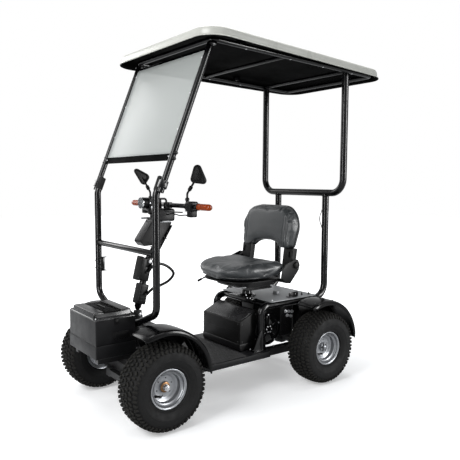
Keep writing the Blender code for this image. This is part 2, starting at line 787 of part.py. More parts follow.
def make_front_hoop():
    """Two front posts, bent in at the foot and back at the top, with a cross tube."""
    pieces = []
    for side in (-1, 1):
        x = side * FRONT_POST_X
        back = (FRONT_POST_TOP - FRONT_POST_BEND_Z) * SCREEN_SLOPE
        path = rounded_path([
            (side * 0.100, FRONT_POST_Y, TOWER_TOP + FRONT_POST_RADIUS + GAP),
            (side * 0.145, FRONT_POST_Y, TOWER_TOP + FRONT_POST_RADIUS + 0.014),
            (x, FRONT_POST_Y, FRONT_POST_KNEE),
            (x, FRONT_POST_Y, FRONT_POST_BEND_Z),
            (x, FRONT_POST_Y + back, FRONT_POST_TOP),
        ], 0.040)
        pieces.append(tube("post", path, FRONT_POST_RADIUS))
        edges = sorted((x, x + side * FRONT_POST_RADIUS))
        pieces.append(sloping("lug", edges[0], edges[1], LUG_LOW, LUG_HIGH, -0.008, 0.008))
    pieces.append(rod("cross", (-FRONT_POST_X, FRONT_POST_Y, FRONT_CROSS_Z),
                      (FRONT_POST_X, FRONT_POST_Y, FRONT_CROSS_Z), 0.014))
    foot_z = TOWER_TOP + 0.015 + GAP
    pieces.append(rod("foot", (-0.105, FRONT_POST_Y, foot_z), (0.105, FRONT_POST_Y, foot_z),
                      0.015))
    return fuse("front_hoop", pieces, BLACK_PAINT)


def make_windscreen_frame():
    """Two sloping side tubes with edge strips, a lower panel and a top bar."""
    seat = roof_z(ROOF_TUBE_FRONT_Y) + ROOF_TUBE_LIFT - ROOF_TUBE_RADIUS - 2 * GAP
    top = seat - 0.004
    pieces = []
    for side in (-1, 1):
        x = side * SCREEN_X
        pieces.append(tube("side", [(x, screen_y(SCREEN_BOTTOM), SCREEN_BOTTOM),
                                    (x, screen_y(top), top)], SCREEN_TUBE_RADIUS))
        edges = sorted((x, side * (SCREEN_X - SCREEN_TUBE_RADIUS)))
        pieces.append(sloping("lug", edges[0], edges[1], LUG_LOW, LUG_HIGH, -0.008, 0.008))
        edges = sorted((side * (SCREEN_X - 0.012), side * (ROOF_TUBE_X + 0.008)))
        pieces.append(box("ear", (edges[0], screen_y(seat) - 0.014, seat - 0.012),
                          (edges[1], screen_y(seat) + 0.018, seat)))

    inner = SCREEN_X - 0.010
    pieces.append(sloping("panel", -inner, inner, SCREEN_PANEL_BOTTOM, SCREEN_PANEL_TOP,
                          -0.003, 0.003))
    pieces.append(sloping("bar", -inner, inner, SCREEN_BAR_Z - 0.012, SCREEN_BAR_Z + 0.012,
                          -0.0031, 0.0031))
    for side in (-1, 1):
        edges = sorted((side * inner, side * (SCREEN_X - 0.034)))
        pieces.append(sloping("strip", edges[0], edges[1], SCREEN_PANEL_TOP - 0.01,
                              SCREEN_BAR_Z, -0.0029, 0.0029))
    frame = fuse("windscreen_frame", pieces, BLACK_PAINT)
    pane = sloping("windscreen_pane", -(SCREEN_X - 0.018), SCREEN_X - 0.018,
                   SCREEN_PANEL_TOP - 0.012, SCREEN_BAR_Z - 0.004, -0.0061 - GAP, -0.0031 - GAP)
    pane.data.materials.append(CLEAR)
    return frame, pane


def roof_z(y):
    """The height of the roof's lower edge, which falls towards the back."""
    return ROOF_FRONT_Z + (y - ROOF_FRONT_Y) * (ROOF_REAR_Z - ROOF_FRONT_Z) / (
        ROOF_REAR_Y - ROOF_FRONT_Y)


def roof_ring(inset, rise):
    """One ring of the roof: a rounded plan that narrows towards the back."""
    radius = max(ROOF_CORNER - inset, 0.03)
    front = ROOF_FRONT_Y + inset
    rear = ROOF_REAR_Y - inset
    front_x = ROOF_FRONT_HALF_WIDTH - inset
    rear_x = ROOF_REAR_HALF_WIDTH - inset
    right = corner_arc((front_x - radius, front + radius), radius, -90, 0)
    right += corner_arc((rear_x - radius, rear - radius), radius, 0, 90)
    plan = mirrored(right)
    return [(x, y, roof_z(y) + rise) for x, y in plan]


def roof_underside(x, y):
    """The height of the shell's underside at a place along one of its long sides."""
    taper = (y - ROOF_FRONT_Y) / (ROOF_REAR_Y - ROOF_FRONT_Y)
    edge = ROOF_FRONT_HALF_WIDTH + taper * (ROOF_REAR_HALF_WIDTH - ROOF_FRONT_HALF_WIDTH)
    inset = edge - abs(x)
    for (low, first), (high, second) in zip(ROOF_RINGS, ROOF_RINGS[1:]):
        if inset <= high:
            rise = first + (second - first) * (inset - low) / (high - low)
            return roof_z(y) + rise - ROOF_WALL
    return roof_z(y) + ROOF_RINGS[-1][1] - ROOF_WALL


def make_roof_shell():
    """A thermoformed roof with a lip, a skirt and a crowned top."""
    rings = [roof_ring(inset, rise) for inset, rise in ROOF_RINGS]
    shape = bmesh.new()
    rows = [[shape.verts.new(point) for point in ring] for ring in rings]
    count = len(rows[0])
    for lower, upper in zip(rows, rows[1:]):
        for i in range(count):
            j = (i + 1) % count
            shape.faces.new((lower[i], lower[j], upper[j], upper[i]))
    shape.faces.new(rows[-1])
    bmesh.ops.recalc_face_normals(shape, faces=shape.faces)
    mesh = bpy.data.meshes.new("roof_shell")
    shape.to_mesh(mesh)
    shape.free()
    roof = add_object("roof_shell", mesh, WHITE_ROOF)
    wall = roof.modifiers.new("wall", "SOLIDIFY")
    wall.thickness = ROOF_WALL
    wall.offset = -1.0
    return smooth(bake(roof))


def make_roof_frame():
    """The tube loop inside the roof with its cross tubes and mounting pads."""
    lift = ROOF_TUBE_LIFT
    corners = [(ROOF_TUBE_X, ROOF_TUBE_FRONT_Y), (ROOF_TUBE_X, ROOF_TUBE_REAR_Y),
               (-ROOF_TUBE_X, ROOF_TUBE_REAR_Y), (-ROOF_TUBE_X, ROOF_TUBE_FRONT_Y)]
    points = [(0.0, ROOF_TUBE_FRONT_Y, roof_z(ROOF_TUBE_FRONT_Y) + lift)]
    points += [(x, y, roof_z(y) + lift) for x, y in corners]
    points.append(points[0])
    path = rounded_path(points, ROOF_TUBE_CORNER)
    loop = tube("loop", path[:-1], ROOF_TUBE_RADIUS, None, 2, True)
    pieces = [loop]
    for y in (0.200, REAR_UPRIGHT_Y):
        z = roof_z(y) + lift
        pieces.append(rod("cross", (-ROOF_TUBE_X, y, z), (ROOF_TUBE_X, y, z), 0.0105))
    for x in (-ROOF_TUBE_X, ROOF_TUBE_X):
        outer = abs(x) + PAD_HALF_WIDTH
        for y in (-0.080, 0.430):
            top = roof_underside(outer, y + PAD_HALF_LENGTH) - 2 * GAP
            pieces.append(box("pad", (x - PAD_HALF_WIDTH, y - PAD_HALF_LENGTH, roof_z(y) + lift),
                              (x + PAD_HALF_WIDTH, y + PAD_HALF_LENGTH, top)))
    return fuse("roof_frame", pieces, BLACK_PAINT)


def make_rear_frame():
    """The rear hoop, its cross bar, the lower tubes under the seat and their pillars."""
    top = roof_z(REAR_UPRIGHT_Y + REAR_TUBE_RADIUS) + ROOF_TUBE_LIFT - ROOF_TUBE_RADIUS - GAP
    hoop_points = [
        (-REAR_UPRIGHT_X, REAR_UPRIGHT_Y, top),
        (-REAR_UPRIGHT_X, REAR_UPRIGHT_Y, REAR_CROSS_Z),
        (REAR_UPRIGHT_X, REAR_UPRIGHT_Y, REAR_CROSS_Z),
        (REAR_UPRIGHT_X, REAR_UPRIGHT_Y, top),
    ]
    pieces = [tube("hoop", rounded_path(hoop_points, 0.080, 4), REAR_TUBE_RADIUS)]
    for side in (-1, 1):
        x = side * DECK_TUBE_X
        middle = (x, REAR_AXLE_Y, DECK_TUBE_Z)
        lower = rounded_path([(x, REAR_UPRIGHT_Y, REAR_CROSS_Z), (x, REAR_UPRIGHT_Y, DECK_TUBE_Z),
                              middle], LOWER_BEND)
        lower += rounded_path([middle, (x, PILLAR_Y, DECK_TUBE_Z),
                               (x, PILLAR_Y, FLOOR_TOP + GAP)], PILLAR_BEND)[1:]
        pieces.append(tube("lower", lower, REAR_TUBE_RADIUS))
        outline = [(FLOOR_REAR_Y - 0.001, FLOOR_TOP + 2 * GAP),
                   (FLOOR_REAR_Y - 0.001, FLOOR_TOP + 0.045),
                   (PILLAR_Y + 0.004, FLOOR_TOP + GUSSET_HEIGHT),
                   (PILLAR_Y - 0.008, FLOOR_TOP + GUSSET_HEIGHT),
                   (PILLAR_Y - GUSSET_HALF_LENGTH, FLOOR_TOP + 2 * GAP)]
        pieces.append(slab("gusset", outline, 0.006, sideways(x + side * 0.0145)))
        lip = WHEEL_X - FENDER_INSIDE - FENDER_WALL / 2 - GAP
        edges = sorted((x + side * 0.005, side * lip))
        crest = HUB_Z + FENDER_LIFT + FENDER_RADIUS
        pieces.append(box("fender_bracket", (edges[0], REAR_AXLE_Y - 0.022, crest - 0.024),
                          (edges[1], REAR_AXLE_Y + 0.022, crest - 0.012)))
    cross_y = PILLAR_Y + PILLAR_BEND + 0.004
    cross_x = DECK_TUBE_X - 0.006
    pieces.append(rod("front_cross", (-cross_x, cross_y, DECK_TUBE_Z),
                      (cross_x, cross_y, DECK_TUBE_Z), 0.014))
    pieces.append(box("seat_bracket", (-BRACKET_HALF_WIDTH, BRACKET_FRONT_Y, DECK_TUBE_Z + 0.007),
                      (BRACKET_HALF_WIDTH, DECK_PLATE_FRONT_Y - GAP, DECK_PLATE_TOP)))
    return fuse("rear_frame", pieces, BLACK_PAINT)


def make_deck_plate():
    """The light sheet that the seat stands on."""
    low = DECK_TUBE_Z + REAR_TUBE_RADIUS + GAP
    return box("deck_plate", (-DECK_PLATE_HALF_WIDTH, DECK_PLATE_FRONT_Y, low),
               (DECK_PLATE_HALF_WIDTH, DECK_PLATE_REAR_Y, DECK_PLATE_TOP), PLATE_GREY)


def make_power_boxes():
    """The controller and the charger, hung side by side under the deck."""
    top = DECK_TUBE_Z + REAR_TUBE_RADIUS
    edge = DECK_TUBE_X - REAR_TUBE_RADIUS - 0.008
    return [box(name, (low_x, POWER_FRONT_Y, POWER_BOTTOM), (high_x, POWER_REAR_Y, top),
                BLACK_PLASTIC, 0.006, 1)
            for name, low_x, high_x in (("controller_box", edge - 0.125, edge),
                                        ("charger_box", -edge, -edge + 0.115))]


def make_housing():
    """The moulded cover under the seat, its front sloping back at the top."""
    outline = [
        (HOUSING_FRONT_Y, FLOOR_TOP + GAP),
        (HOUSING_REAR_Y, FLOOR_TOP + GAP),
        (HOUSING_REAR_Y, HOUSING_TOP),
        (HOUSING_REAR_Y - 0.012, HOUSING_TOP),
        (HOUSING_FRONT_Y, HOUSING_KNEE_Z),
    ]
    body = slab("seat_housing", outline, 2 * HOUSING_HALF_WIDTH, sideways(0.0), GREY_PLASTIC)
    return smooth(bake(add_bevel(body, 0.006)))


def make_rear_axle():
    """The axle tube with its gear case and the motor that lies across in front of it."""
    y = REAR_AXLE_Y
    end = 0.225
    pieces = [rod("tube", (-end, y, HUB_Z), (end, y, HUB_Z), AXLE_TUBE_RADIUS, None, 16)]
    pieces.append(rod("gear_case", (-0.045, y, HUB_Z), (0.035, y, HUB_Z), 0.050, None, 16))
    pieces.append(box("gearbox", (-0.040, MOTOR_Y, 0.235), (0.030, y + 0.01, 0.225 + 0.060)))
    pieces.append(rod("motor", (-0.120, MOTOR_Y, MOTOR_Z), (DISC_X - 0.012, MOTOR_Y, MOTOR_Z),
                      MOTOR_RADIUS, None, 20))
    disc = rod("disc", (DISC_X - 0.004, MOTOR_Y, MOTOR_Z), (DISC_X, MOTOR_Y, MOTOR_Z),
               DISC_RADIUS, None, 28)
    reach = (DISC_RADIUS + 0.022) / 2
    windows = []
    for i in range(5):
        angle = math.radians(54 + 72 * i)
        spot = (MOTOR_Y + reach * math.cos(angle), MOTOR_Z + reach * math.sin(angle))
        windows.append(rod("window", (DISC_X - 0.02, *spot), (DISC_X + 0.02, *spot),
                           DISC_WINDOW, None, 8))
    pieces.append(cut(disc, windows))
    pieces.append(rod("disc_hub", (DISC_X - 0.014, MOTOR_Y, MOTOR_Z),
                      (DISC_X + 0.008, MOTOR_Y, MOTOR_Z), 0.022, None, 16))
    bores = [rod("bore", (side * (end - 0.035), y, HUB_Z), (side * (end + 0.02), y, HUB_Z),
                 AXLE_PIN_RADIUS + RUNNING) for side in (-1, 1)]
    return smooth(cut(fuse("rear_axle", pieces, BLACK_PLASTIC), bores))


def make_steering_shaft():
    """The lower steering shaft with a cup at the top and an arm at the foot."""
    y = STEERING_Y
    cup_top = STEERING_BALL_Z - STEERING_BALL - GAP
    shaft = rod("shaft", (0.0, y, HUB_Z + 0.034), (0.0, y, cup_top), 0.012, None, 16)
    cup = rod("cup", (0.0, y, TOWER_TOP + 0.025 + RUNNING), (0.0, y, cup_top - 0.002), 0.020,
              None, 16)
    arm = box("arm", (-0.009, y, HUB_Z + 0.0345), (0.009, y + STEERING_ARM, HUB_Z + 0.0435))
    eye = rod("eye", (0.0, y + STEERING_ARM, HUB_Z + 0.035),
              (0.0, y + STEERING_ARM, HUB_Z + 0.043), 0.011)
    ball = rod("ball", (0.0, y + STEERING_ARM, HUB_Z + 0.005),
               (0.0, y + STEERING_ARM, HUB_Z + 0.036), 0.005)
    return fuse("steering_shaft", [shaft, cup, arm, eye, ball], STEEL)


def column_box(name, width, front, back, low, high):
    """A block on the lower column, before the column is leaned."""
    return box(name, (-width, STEERING_Y - front, STEERING_BALL_Z + low),
               (width, STEERING_Y + back, STEERING_BALL_Z + high))


def make_steering_column():
    """The lower column with its front covers and the fork for the tilting tiller."""
    pivot = (0.0, STEERING_Y, STEERING_BALL_Z)
    reach = (TILT_PIVOT_Z - STEERING_BALL_Z) / math.cos(COLUMN_LEAN)
    post = rod("post", (0.0, STEERING_Y, STEERING_BALL_Z),
               (0.0, STEERING_Y, STEERING_BALL_Z + reach - 0.026), COLUMN_RADIUS)
    ball = turned("ball", [(STEERING_BALL * math.sin(math.radians(a)),
                            STEERING_BALL * math.cos(math.radians(a)))
                           for a in range(0, 181, 30)], pivot, "Z", None, 12)
    sleeve = column_box("sleeve", 0.028, 0.022, 0.022, 0.018, 0.115)
    cover = column_box("cover", COVER_HALF_WIDTH, 0.038, 0.010, 0.130, reach - 0.028)
    plate = column_box("plate", COVER_HALF_WIDTH + 0.001, 0.042, -0.034, 0.128, reach + 0.018)
    web = column_box("web", 0.026, 0.014, 0.014, reach - 0.034, reach - 0.020)
    ears = [box("ear", (side * 0.023 - 0.003, STEERING_Y - 0.014, STEERING_BALL_Z + reach - 0.034),
                (side * 0.023 + 0.003, STEERING_Y + 0.014, STEERING_BALL_Z + reach + 0.014))
            for side in (-1, 1)]
    whole = fuse("steering_column", [post, ball, sleeve, cover, plate, web] + ears, BLACK_PLASTIC)
    hole = rod("hole", (-0.05, STEERING_Y, STEERING_BALL_Z + reach),
               (0.05, STEERING_Y, STEERING_BALL_Z + reach), 0.005 + RUNNING)
    return smooth(lean(cut(whole, [hole]), -COLUMN_LEAN, pivot))


def make_conduit():
    """The cable sheath that loops out behind the lower column, clipped to its covers."""
    x = COVER_HALF_WIDTH + CONDUIT_RADIUS + GAP
    route = [(-0.402, 0.640), (-0.375, 0.668), (-0.330, 0.676), (-0.285, 0.655),
             (-0.258, 0.622), (-0.285, 0.590), (-0.330, 0.572), (-0.375, 0.560),
             (-0.410, 0.535)]
    path = [(x, y, z) for y, z in route]
    return tube("column_conduit", path, CONDUIT_RADIUS, BLACK_PLASTIC, 2)


def make_tiller():
    """The tilting post with its boss, pin and front shield, and the box at its head."""
    pivot = (0.0, TILT_PIVOT_Y, TILT_PIVOT_Z)
    pin = rod("pin", (-0.032, pivot[1], pivot[2]), (0.032, pivot[1], pivot[2]), 0.005)
    boss = rod("boss", (-0.0195, pivot[1], pivot[2]), (0.0195, pivot[1], pivot[2]), 0.014,
               None, 16)
    pieces = [
        rod("post", pivot, (0.0, pivot[1], pivot[2] + TILLER_LENGTH), TILLER_RADIUS),
        box("shield", (-0.036, pivot[1] - 0.060, pivot[2] + 0.105),
            (0.036, pivot[1] - 0.030, pivot[2] + 0.216)),
    ]
    for height in (0.120, 0.195):
        pieces.append(box("arm", (-0.006, pivot[1] - 0.055, pivot[2] + height),
                          (0.006, pivot[1], pivot[2] + height + 0.010)))
    pieces = [lean(piece, -TILLER_LEAN, pivot) for piece in pieces]
    pieces.append(box("console", (-0.045, -0.345, 0.882), (0.045, -0.250, CONSOLE_TOP),
                      None, 0.008))
    for x in (-0.028, 0.028):
        crest = CONSOLE_TOP + 0.049
        path = rounded_path([(x, -0.330, CONSOLE_TOP - 0.012), (x, -0.338, crest),
                             (x, -0.292, crest), (x, -0.288, CONSOLE_TOP - 0.012)], 0.012)
        pieces.append(tube("hoop", path, 0.005, None, 2))
    return fuse("tiller", [boss, pin] + pieces, BLACK_PLASTIC)


def make_handlebar():
    """The cross bar of the tiller, its two clamps and the switch clusters near its ends."""
    pieces = [rod("bar", (-BAR_HALF_LENGTH, BAR_Y, BAR_Z), (BAR_HALF_LENGTH, BAR_Y, BAR_Z),
                  BAR_RADIUS)]
    for x in (-0.012, 0.012):
        pieces.append(box("clamp", (x - 0.008, BAR_Y - 0.013, CONSOLE_TOP + GAP),
                          (x + 0.008, BAR_Y + 0.013, BAR_Z)))
    for side in (-1, 1):
        x = side * 0.215
        pieces.append(box("pod", (x - 0.024, BAR_Y - 0.026, BAR_Z - 0.050),
                          (x + 0.024, BAR_Y + 0.022, BAR_Z + 0.024), None, 0.006))
    return fuse("handlebar", pieces, BLACK_PLASTIC)


def make_bar_lamp(name, side):
    """The amber lamp that ends one side of the bar."""
    profile = [(0.0, BAR_LAMP_LENGTH), (0.008, BAR_LAMP_LENGTH - 0.002),
               (0.013, BAR_LAMP_LENGTH - 0.008),
               (BAR_LAMP_RADIUS, BAR_LAMP_LENGTH - 0.016), (BAR_LAMP_RADIUS, 0.0), (0.0, 0.0)]
    place = (side * (BAR_HALF_LENGTH + GAP), BAR_Y, BAR_Z)
    return smooth(turned(name, profile, place, "X" if side > 0 else "-X", AMBER, 16))


def make_headlamp():
    """The round headlamp on its bracket, and its glass."""
    y = -0.362
    z = 0.972
    shell = turned("shell", [(0.0, 0.052), (0.0275, 0.052), (0.0275, 0.010), (0.020, 0.0),
                             (0.0, 0.0)], (0.0, y, z), "-Y", None, 20)
    recess = rod("recess", (0.0, y - 0.050, z), (0.0, y - 0.070, z), 0.0250, None, 20)
    shell = cut(shell, [recess])
    arm = box("arm", (-0.008, y - 0.010, 0.920), (0.008, y + 0.010, z - 0.010))
    foot = box("foot", (-0.008, y - 0.010, 0.917), (0.008, -0.3453, 0.930))
    body = fuse("headlamp", [shell, arm, foot], BLACK_PLASTIC)
    glass = turned("headlamp_glass", [(0.0, 0.006), (0.014, 0.0045), (0.0247, 0.0015),
                                      (0.0247, 0.0), (0.0, 0.0)],
                   (0.0, y - 0.050 - GAP, z), "-Y", CLEAR, 20)
    return body, smooth(glass)


def make_mirror(name, side):
    """A mirror on its bent stem."""
    stem = tube("stem", rounded_path([(side * 0.175, BAR_Y, BAR_Z + BAR_RADIUS + GAP),
                                      (side * 0.175, BAR_Y, BAR_Z + 0.060),
                                      (side * 0.262, BAR_Y, 1.100)], 0.015), 0.004, None, 2)
    outline = corner_arc((0.278, 1.094), 0.021, -90, 25, 3)
    outline += corner_arc((0.262, 1.127), 0.020, 25, 165, 3)
    outline += corner_arc((0.252, 1.092), 0.021, 165, 270, 3)
    head = slab("head", [(side * x, z) for x, z in outline], 0.018, standing(BAR_Y))
    head = bake(add_bevel(head, 0.006, 1, 60.0))
    return fuse(name, [head, stem], BLACK_PLASTIC)


def make_pedestal():
    """The seat post on its flange."""
    profile = [(0.0, SWIVEL_BOTTOM - GAP), (PEDESTAL_RADIUS, SWIVEL_BOTTOM - GAP),
               (PEDESTAL_RADIUS, DECK_PLATE_TOP + 0.006), (0.050, DECK_PLATE_TOP + 0.005),
               (0.050, DECK_PLATE_TOP + GAP), (0.0, DECK_PLATE_TOP + GAP)]
    return smooth(turned("seat_pedestal", profile, (0.0, SEAT_AXIS_Y, 0.0), "Z", BLACK_PAINT, 20))


def make_swivel():
    """The turning plate under the seat with the runners that the pan slides on."""
    top = SWIVEL_BOTTOM + SWIVEL_THICKNESS
    front = SEAT_AXIS_Y - 0.090
    rear = SEAT_AXIS_Y + 0.070
    pieces = [box("plate", (-0.130, front, SWIVEL_BOTTOM), (0.130, rear, top))]
    for x in (-0.110, 0.110):
        pieces.append(box("runner", (x - 0.010, front + 0.001, top - 0.002),
                          (x + 0.010, rear - 0.001, PAN_BOTTOM - RUNNING)))
    return fuse("seat_swivel", pieces, BLACK_PAINT)


def make_seat_pan():
    """The pan under the cushion, with its levers and the cheeks that hold the backrest."""
    front = PAN_FRONT_Y
    rear = PAN_REAR_Y
    pieces = [
        box("pan", (-0.200, front, PAN_BOTTOM), (0.200, rear, PAN_TOP), None, 0.006),
        box("rear_bar", (-SEAT_HALF_WIDTH - 0.015, rear - 0.030, PAN_BOTTOM + 0.008),
            (SEAT_HALF_WIDTH + 0.015, rear - 0.002, PAN_TOP - 0.006)),
    ]
    inner = SEAT_HALF_WIDTH + 0.010
    outline = [(rear - 0.032, PAN_BOTTOM + 0.007), (rear - 0.001, PAN_BOTTOM + 0.007),
               (FOLD_Y + 0.026, FOLD_Z - 0.018), (FOLD_Y + 0.026, FOLD_Z + 0.016),
               (FOLD_Y + 0.010, FOLD_Z + 0.030), (FOLD_Y - 0.024, FOLD_Z + 0.024),
               (rear - 0.034, PAN_TOP + 0.010)]
    for side in (-1, 1):
        pieces.append(slab("cheek", outline, 0.006, sideways(side * inner)))
    slide_path = rounded_path([(-0.130, front + 0.02, PAN_TOP - 0.012),
                               (-0.130, -0.010, PAN_TOP - 0.012),
                               (-0.130, -0.055, PAN_TOP - 0.034)], 0.02)
    pieces.append(tube("slide_lever", slide_path, 0.004, None, 2))
    pieces.append(rod("lock_lever", (-0.060, front + 0.01, PAN_BOTTOM + 0.010),
                      (-0.060, front - 0.040, PAN_BOTTOM + 0.014), 0.0035, None, 8))
    pieces.append(rod("knob", (-0.060, front - 0.034, PAN_BOTTOM + 0.0135),
                      (-0.060, front - 0.062, PAN_BOTTOM + 0.0165), 0.009))
    hole = rod("hole", (-0.3, FOLD_Y, FOLD_Z), (0.3, FOLD_Y, FOLD_Z), 0.006 + RUNNING)
    return smooth(cut(fuse("seat_pan", pieces, BLACK_PLASTIC), [hole]))


def make_cushion():
    """The seat cushion: wide front corners, a rolled edge and a nose that tapers down."""
    shape = bmesh.new()
    low = PAN_TOP + GAP
    rows = []
    for inset, share in CUSHION_RINGS:
        corner = CUSHION_CORNER - inset
        half = SEAT_HALF_WIDTH - inset
        right = corner_arc((half - corner, CUSHION_FRONT_Y + inset + corner), corner, -90, 0)
        right += corner_arc((half - 0.045 + inset / 2, CUSHION_REAR_Y - 0.045 - inset / 2),
                            0.045 - inset / 2, 0, 90, 3)
        row = []
        for x, y in mirrored(right):
            away = max(0.0, 1 - (y - CUSHION_FRONT_Y) / CUSHION_NOSE)
            tall = CUSHION_TOP - CUSHION_DROP * away ** 2 - low
            row.append(shape.verts.new((x, y, low + tall * share)))
        rows.append(row)
    for lower, upper in zip(rows, rows[1:]):
        for i in range(len(lower)):
            j = (i + 1) % len(lower)
            shape.faces.new((lower[i], lower[j], upper[j], upper[i]))
    shape.faces.new(rows[0][::-1])
    crown = shape.faces.new(rows[-1])
    bmesh.ops.poke(shape, faces=[crown])
    bmesh.ops.recalc_face_normals(shape, faces=shape.faces)
    mesh = bpy.data.meshes.new("seat_cushion")
    shape.to_mesh(mesh)
    shape.free()
    return smooth(add_object("seat_cushion", mesh, VINYL))


def back_outline(inset):
    """The backrest's outline with its arched lower edge, as X and Z."""
    half = SEAT_HALF_WIDTH - inset
    low = BACK_BOTTOM + inset
    right = [(0.0, low + BACK_ARCH), (0.060, low + BACK_ARCH - 0.004),
             (0.105, low + BACK_ARCH * 0.6), (0.130, low)]
    right += corner_arc((half - 0.030, low + 0.030), 0.030, -90, 0, 2)
    right += corner_arc((half - 0.100, BACK_TOP - inset - 0.100), 0.100, 0, 90)
    return right + [(-x, z) for x, z in reversed(right[1:])]


def make_backrest():
    """The padded back and the moulded shell whose legs reach the hinge."""
    rear = FOLD_Y + 0.020
    front = rear - BACK_PAD_THICKNESS
    pivot = (0.0, FOLD_Y, FOLD_Z)
    pad = slab("backrest_pad", back_outline(0.0), BACK_PAD_THICKNESS,
               standing((rear + front) / 2), VINYL)
    pad = smooth(bake(add_bevel(pad, 0.018, 3, 60.0)))
    shell = slab("shell", back_outline(0.006), 0.010, standing(rear + 0.005 + GAP))
    pieces = [shell]
    leg_x = SEAT_HALF_WIDTH + 0.005
    slot_x = leg_x - 0.028
    for side in (-1, 1):
        low, high = sorted((side * (leg_x - LEG_WIDTH), side * leg_x))
        leg = box("leg", (low, FOLD_Y - 0.009, FOLD_Z - 0.022),
                  (high, rear + 0.008, BACK_BOTTOM - GAP))
        slot = box("slot", (side * slot_x - 0.006, front, BACK_BOTTOM - 0.044),
                   (side * slot_x + 0.006, rear + 0.02, BACK_BOTTOM - 0.012))
        pieces.append(cut(leg, [slot]))
        for inner, outer in ((leg_x - LEG_WIDTH + 0.001, slot_x - 0.010),
                             (slot_x + 0.010, leg_x - 0.001)):
            edges = sorted((side * inner, side * outer))
            pieces.append(box("strut", (edges[0], rear + GAP + 0.001, FOLD_Z),
                              (edges[1], rear + 0.009, BACK_BOTTOM + 0.050)))
    pin_end = SEAT_HALF_WIDTH + 0.022
    pin_start = leg_x - LEG_WIDTH + 0.010
    for side in (-1, 1):
        pieces.append(rod("pin", (side * pin_start, FOLD_Y, FOLD_Z),
                          (side * pin_end, FOLD_Y, FOLD_Z), 0.006))
    shell = fuse("backrest_shell", pieces, BLACK_PLASTIC)
    return lean(pad, -BACK_LEAN, pivot), lean(shell, -BACK_LEAN, pivot)


def build():
    """Make every piece and hang it on the empty of its joint."""
    root = pivot_empty("machine", (0.0, 0.0, 0.0))
    frame, pane = make_windscreen_frame()
    chassis = [
        make_chassis_frame(), make_floor_pan(), make_front_axle(), make_rear_axle(),
        make_battery_box(), make_batteries(), make_front_hoop(), frame, pane,
        make_roof_shell(), make_roof_frame(), make_rear_frame(), make_deck_plate(),
        make_housing(), make_pedestal(),
    ]
    hang(chassis + make_power_boxes(), root)

    for word, side in (("left", 1), ("right", -1)):
        knuckle_spot = (side * KINGPIN_X, FRONT_AXLE_Y, HUB_Z)
        knuckle = pivot_empty("kingpin_" + word, knuckle_spot, root)
        hang([make_knuckle("knuckle_" + word, side),
              make_fender("front_fender_" + word, side, FRONT_AXLE_Y)], knuckle)
        front = pivot_empty("front_hub_" + word, (side * WHEEL_X, FRONT_AXLE_Y, HUB_Z), knuckle)
        hang([make_tyre("front_tyre_" + word, side, FRONT_AXLE_Y),
              make_rim("front_rim_" + word, side, FRONT_AXLE_Y)], front)
        hang([make_fender("rear_fender_" + word, side, REAR_AXLE_Y)], root)
        rear = pivot_empty("rear_hub_" + word, (side * WHEEL_X, REAR_AXLE_Y, HUB_Z), root)
        hang([make_tyre("rear_tyre_" + word, side, REAR_AXLE_Y),
              make_rim("rear_rim_" + word, side, REAR_AXLE_Y, 0.195)], rear)

    lid = pivot_empty("lid_hinge", (0.0, BOX_REAR_Y, BOX_TOP), root)
    hang([make_battery_lid()], lid)
    link = pivot_empty("tie_rod_joint", (KINGPIN_X, FRONT_AXLE_Y + STEERING_ARM, HUB_Z), root)
    hang([make_tie_rod()], link)
    shaft = pivot_empty("shaft_axis", (0.0, STEERING_Y, STEERING_BALL_Z), root)
    hang([make_steering_shaft()], shaft)
    column = pivot_empty("column_axis", (0.0, STEERING_Y, STEERING_BALL_Z), root)
    hang([make_steering_column(), make_conduit()], column)
    tiller = pivot_empty("tiller_pivot", (0.0, TILT_PIVOT_Y, TILT_PIVOT_Z), column)
    lamp, glass = make_headlamp()
    hang([make_tiller(), make_handlebar(), lamp, glass], tiller)
    for word, side in (("left", 1), ("right", -1)):
        hang([make_bar_lamp("bar_lamp_" + word, side), make_mirror("mirror_" + word, side)],
             tiller)

    swivel = pivot_empty("seat_axis", (0.0, SEAT_AXIS_Y, SWIVEL_BOTTOM), root)
    hang([make_swivel()], swivel)
    slide = pivot_empty("seat_slide", (0.0, SEAT_AXIS_Y, PAN_BOTTOM), swivel)
    hang([make_seat_pan(), make_cushion()], slide)
    fold = pivot_empty("back_hinge", (0.0, FOLD_Y, FOLD_Z), slide)
    hang(make_backrest(), fold)
    root.location = (0.0, -MIDDLE_Y, 0.0)
    bpy.context.view_layer.update()


build()
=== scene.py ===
"""Looks for an all-terrain mobility scooter with a canopy, on a plain pale floor.

The places below are worked out from the middle between the axles, as on the drawing of the
machine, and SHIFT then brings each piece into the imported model's frame.
"""
from math import atan, atan2, cos, exp, hypot, pi, radians, sin, tan

import bmesh
import bpy
from mathutils import Matrix, Vector, noise


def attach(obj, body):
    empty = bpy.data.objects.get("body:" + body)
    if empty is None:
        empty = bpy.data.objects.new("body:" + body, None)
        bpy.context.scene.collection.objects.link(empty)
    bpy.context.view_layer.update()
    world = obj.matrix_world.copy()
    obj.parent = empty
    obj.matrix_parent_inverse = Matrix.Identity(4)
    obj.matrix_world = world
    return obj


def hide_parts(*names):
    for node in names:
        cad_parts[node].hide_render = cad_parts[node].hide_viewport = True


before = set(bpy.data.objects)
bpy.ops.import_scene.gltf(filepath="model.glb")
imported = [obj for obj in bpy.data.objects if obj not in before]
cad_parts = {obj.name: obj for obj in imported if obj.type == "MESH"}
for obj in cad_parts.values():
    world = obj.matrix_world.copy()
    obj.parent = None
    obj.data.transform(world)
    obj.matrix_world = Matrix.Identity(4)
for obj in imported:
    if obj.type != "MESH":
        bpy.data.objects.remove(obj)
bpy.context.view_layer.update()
SHIFT = -0.1025
SCENE = bpy.context.scene

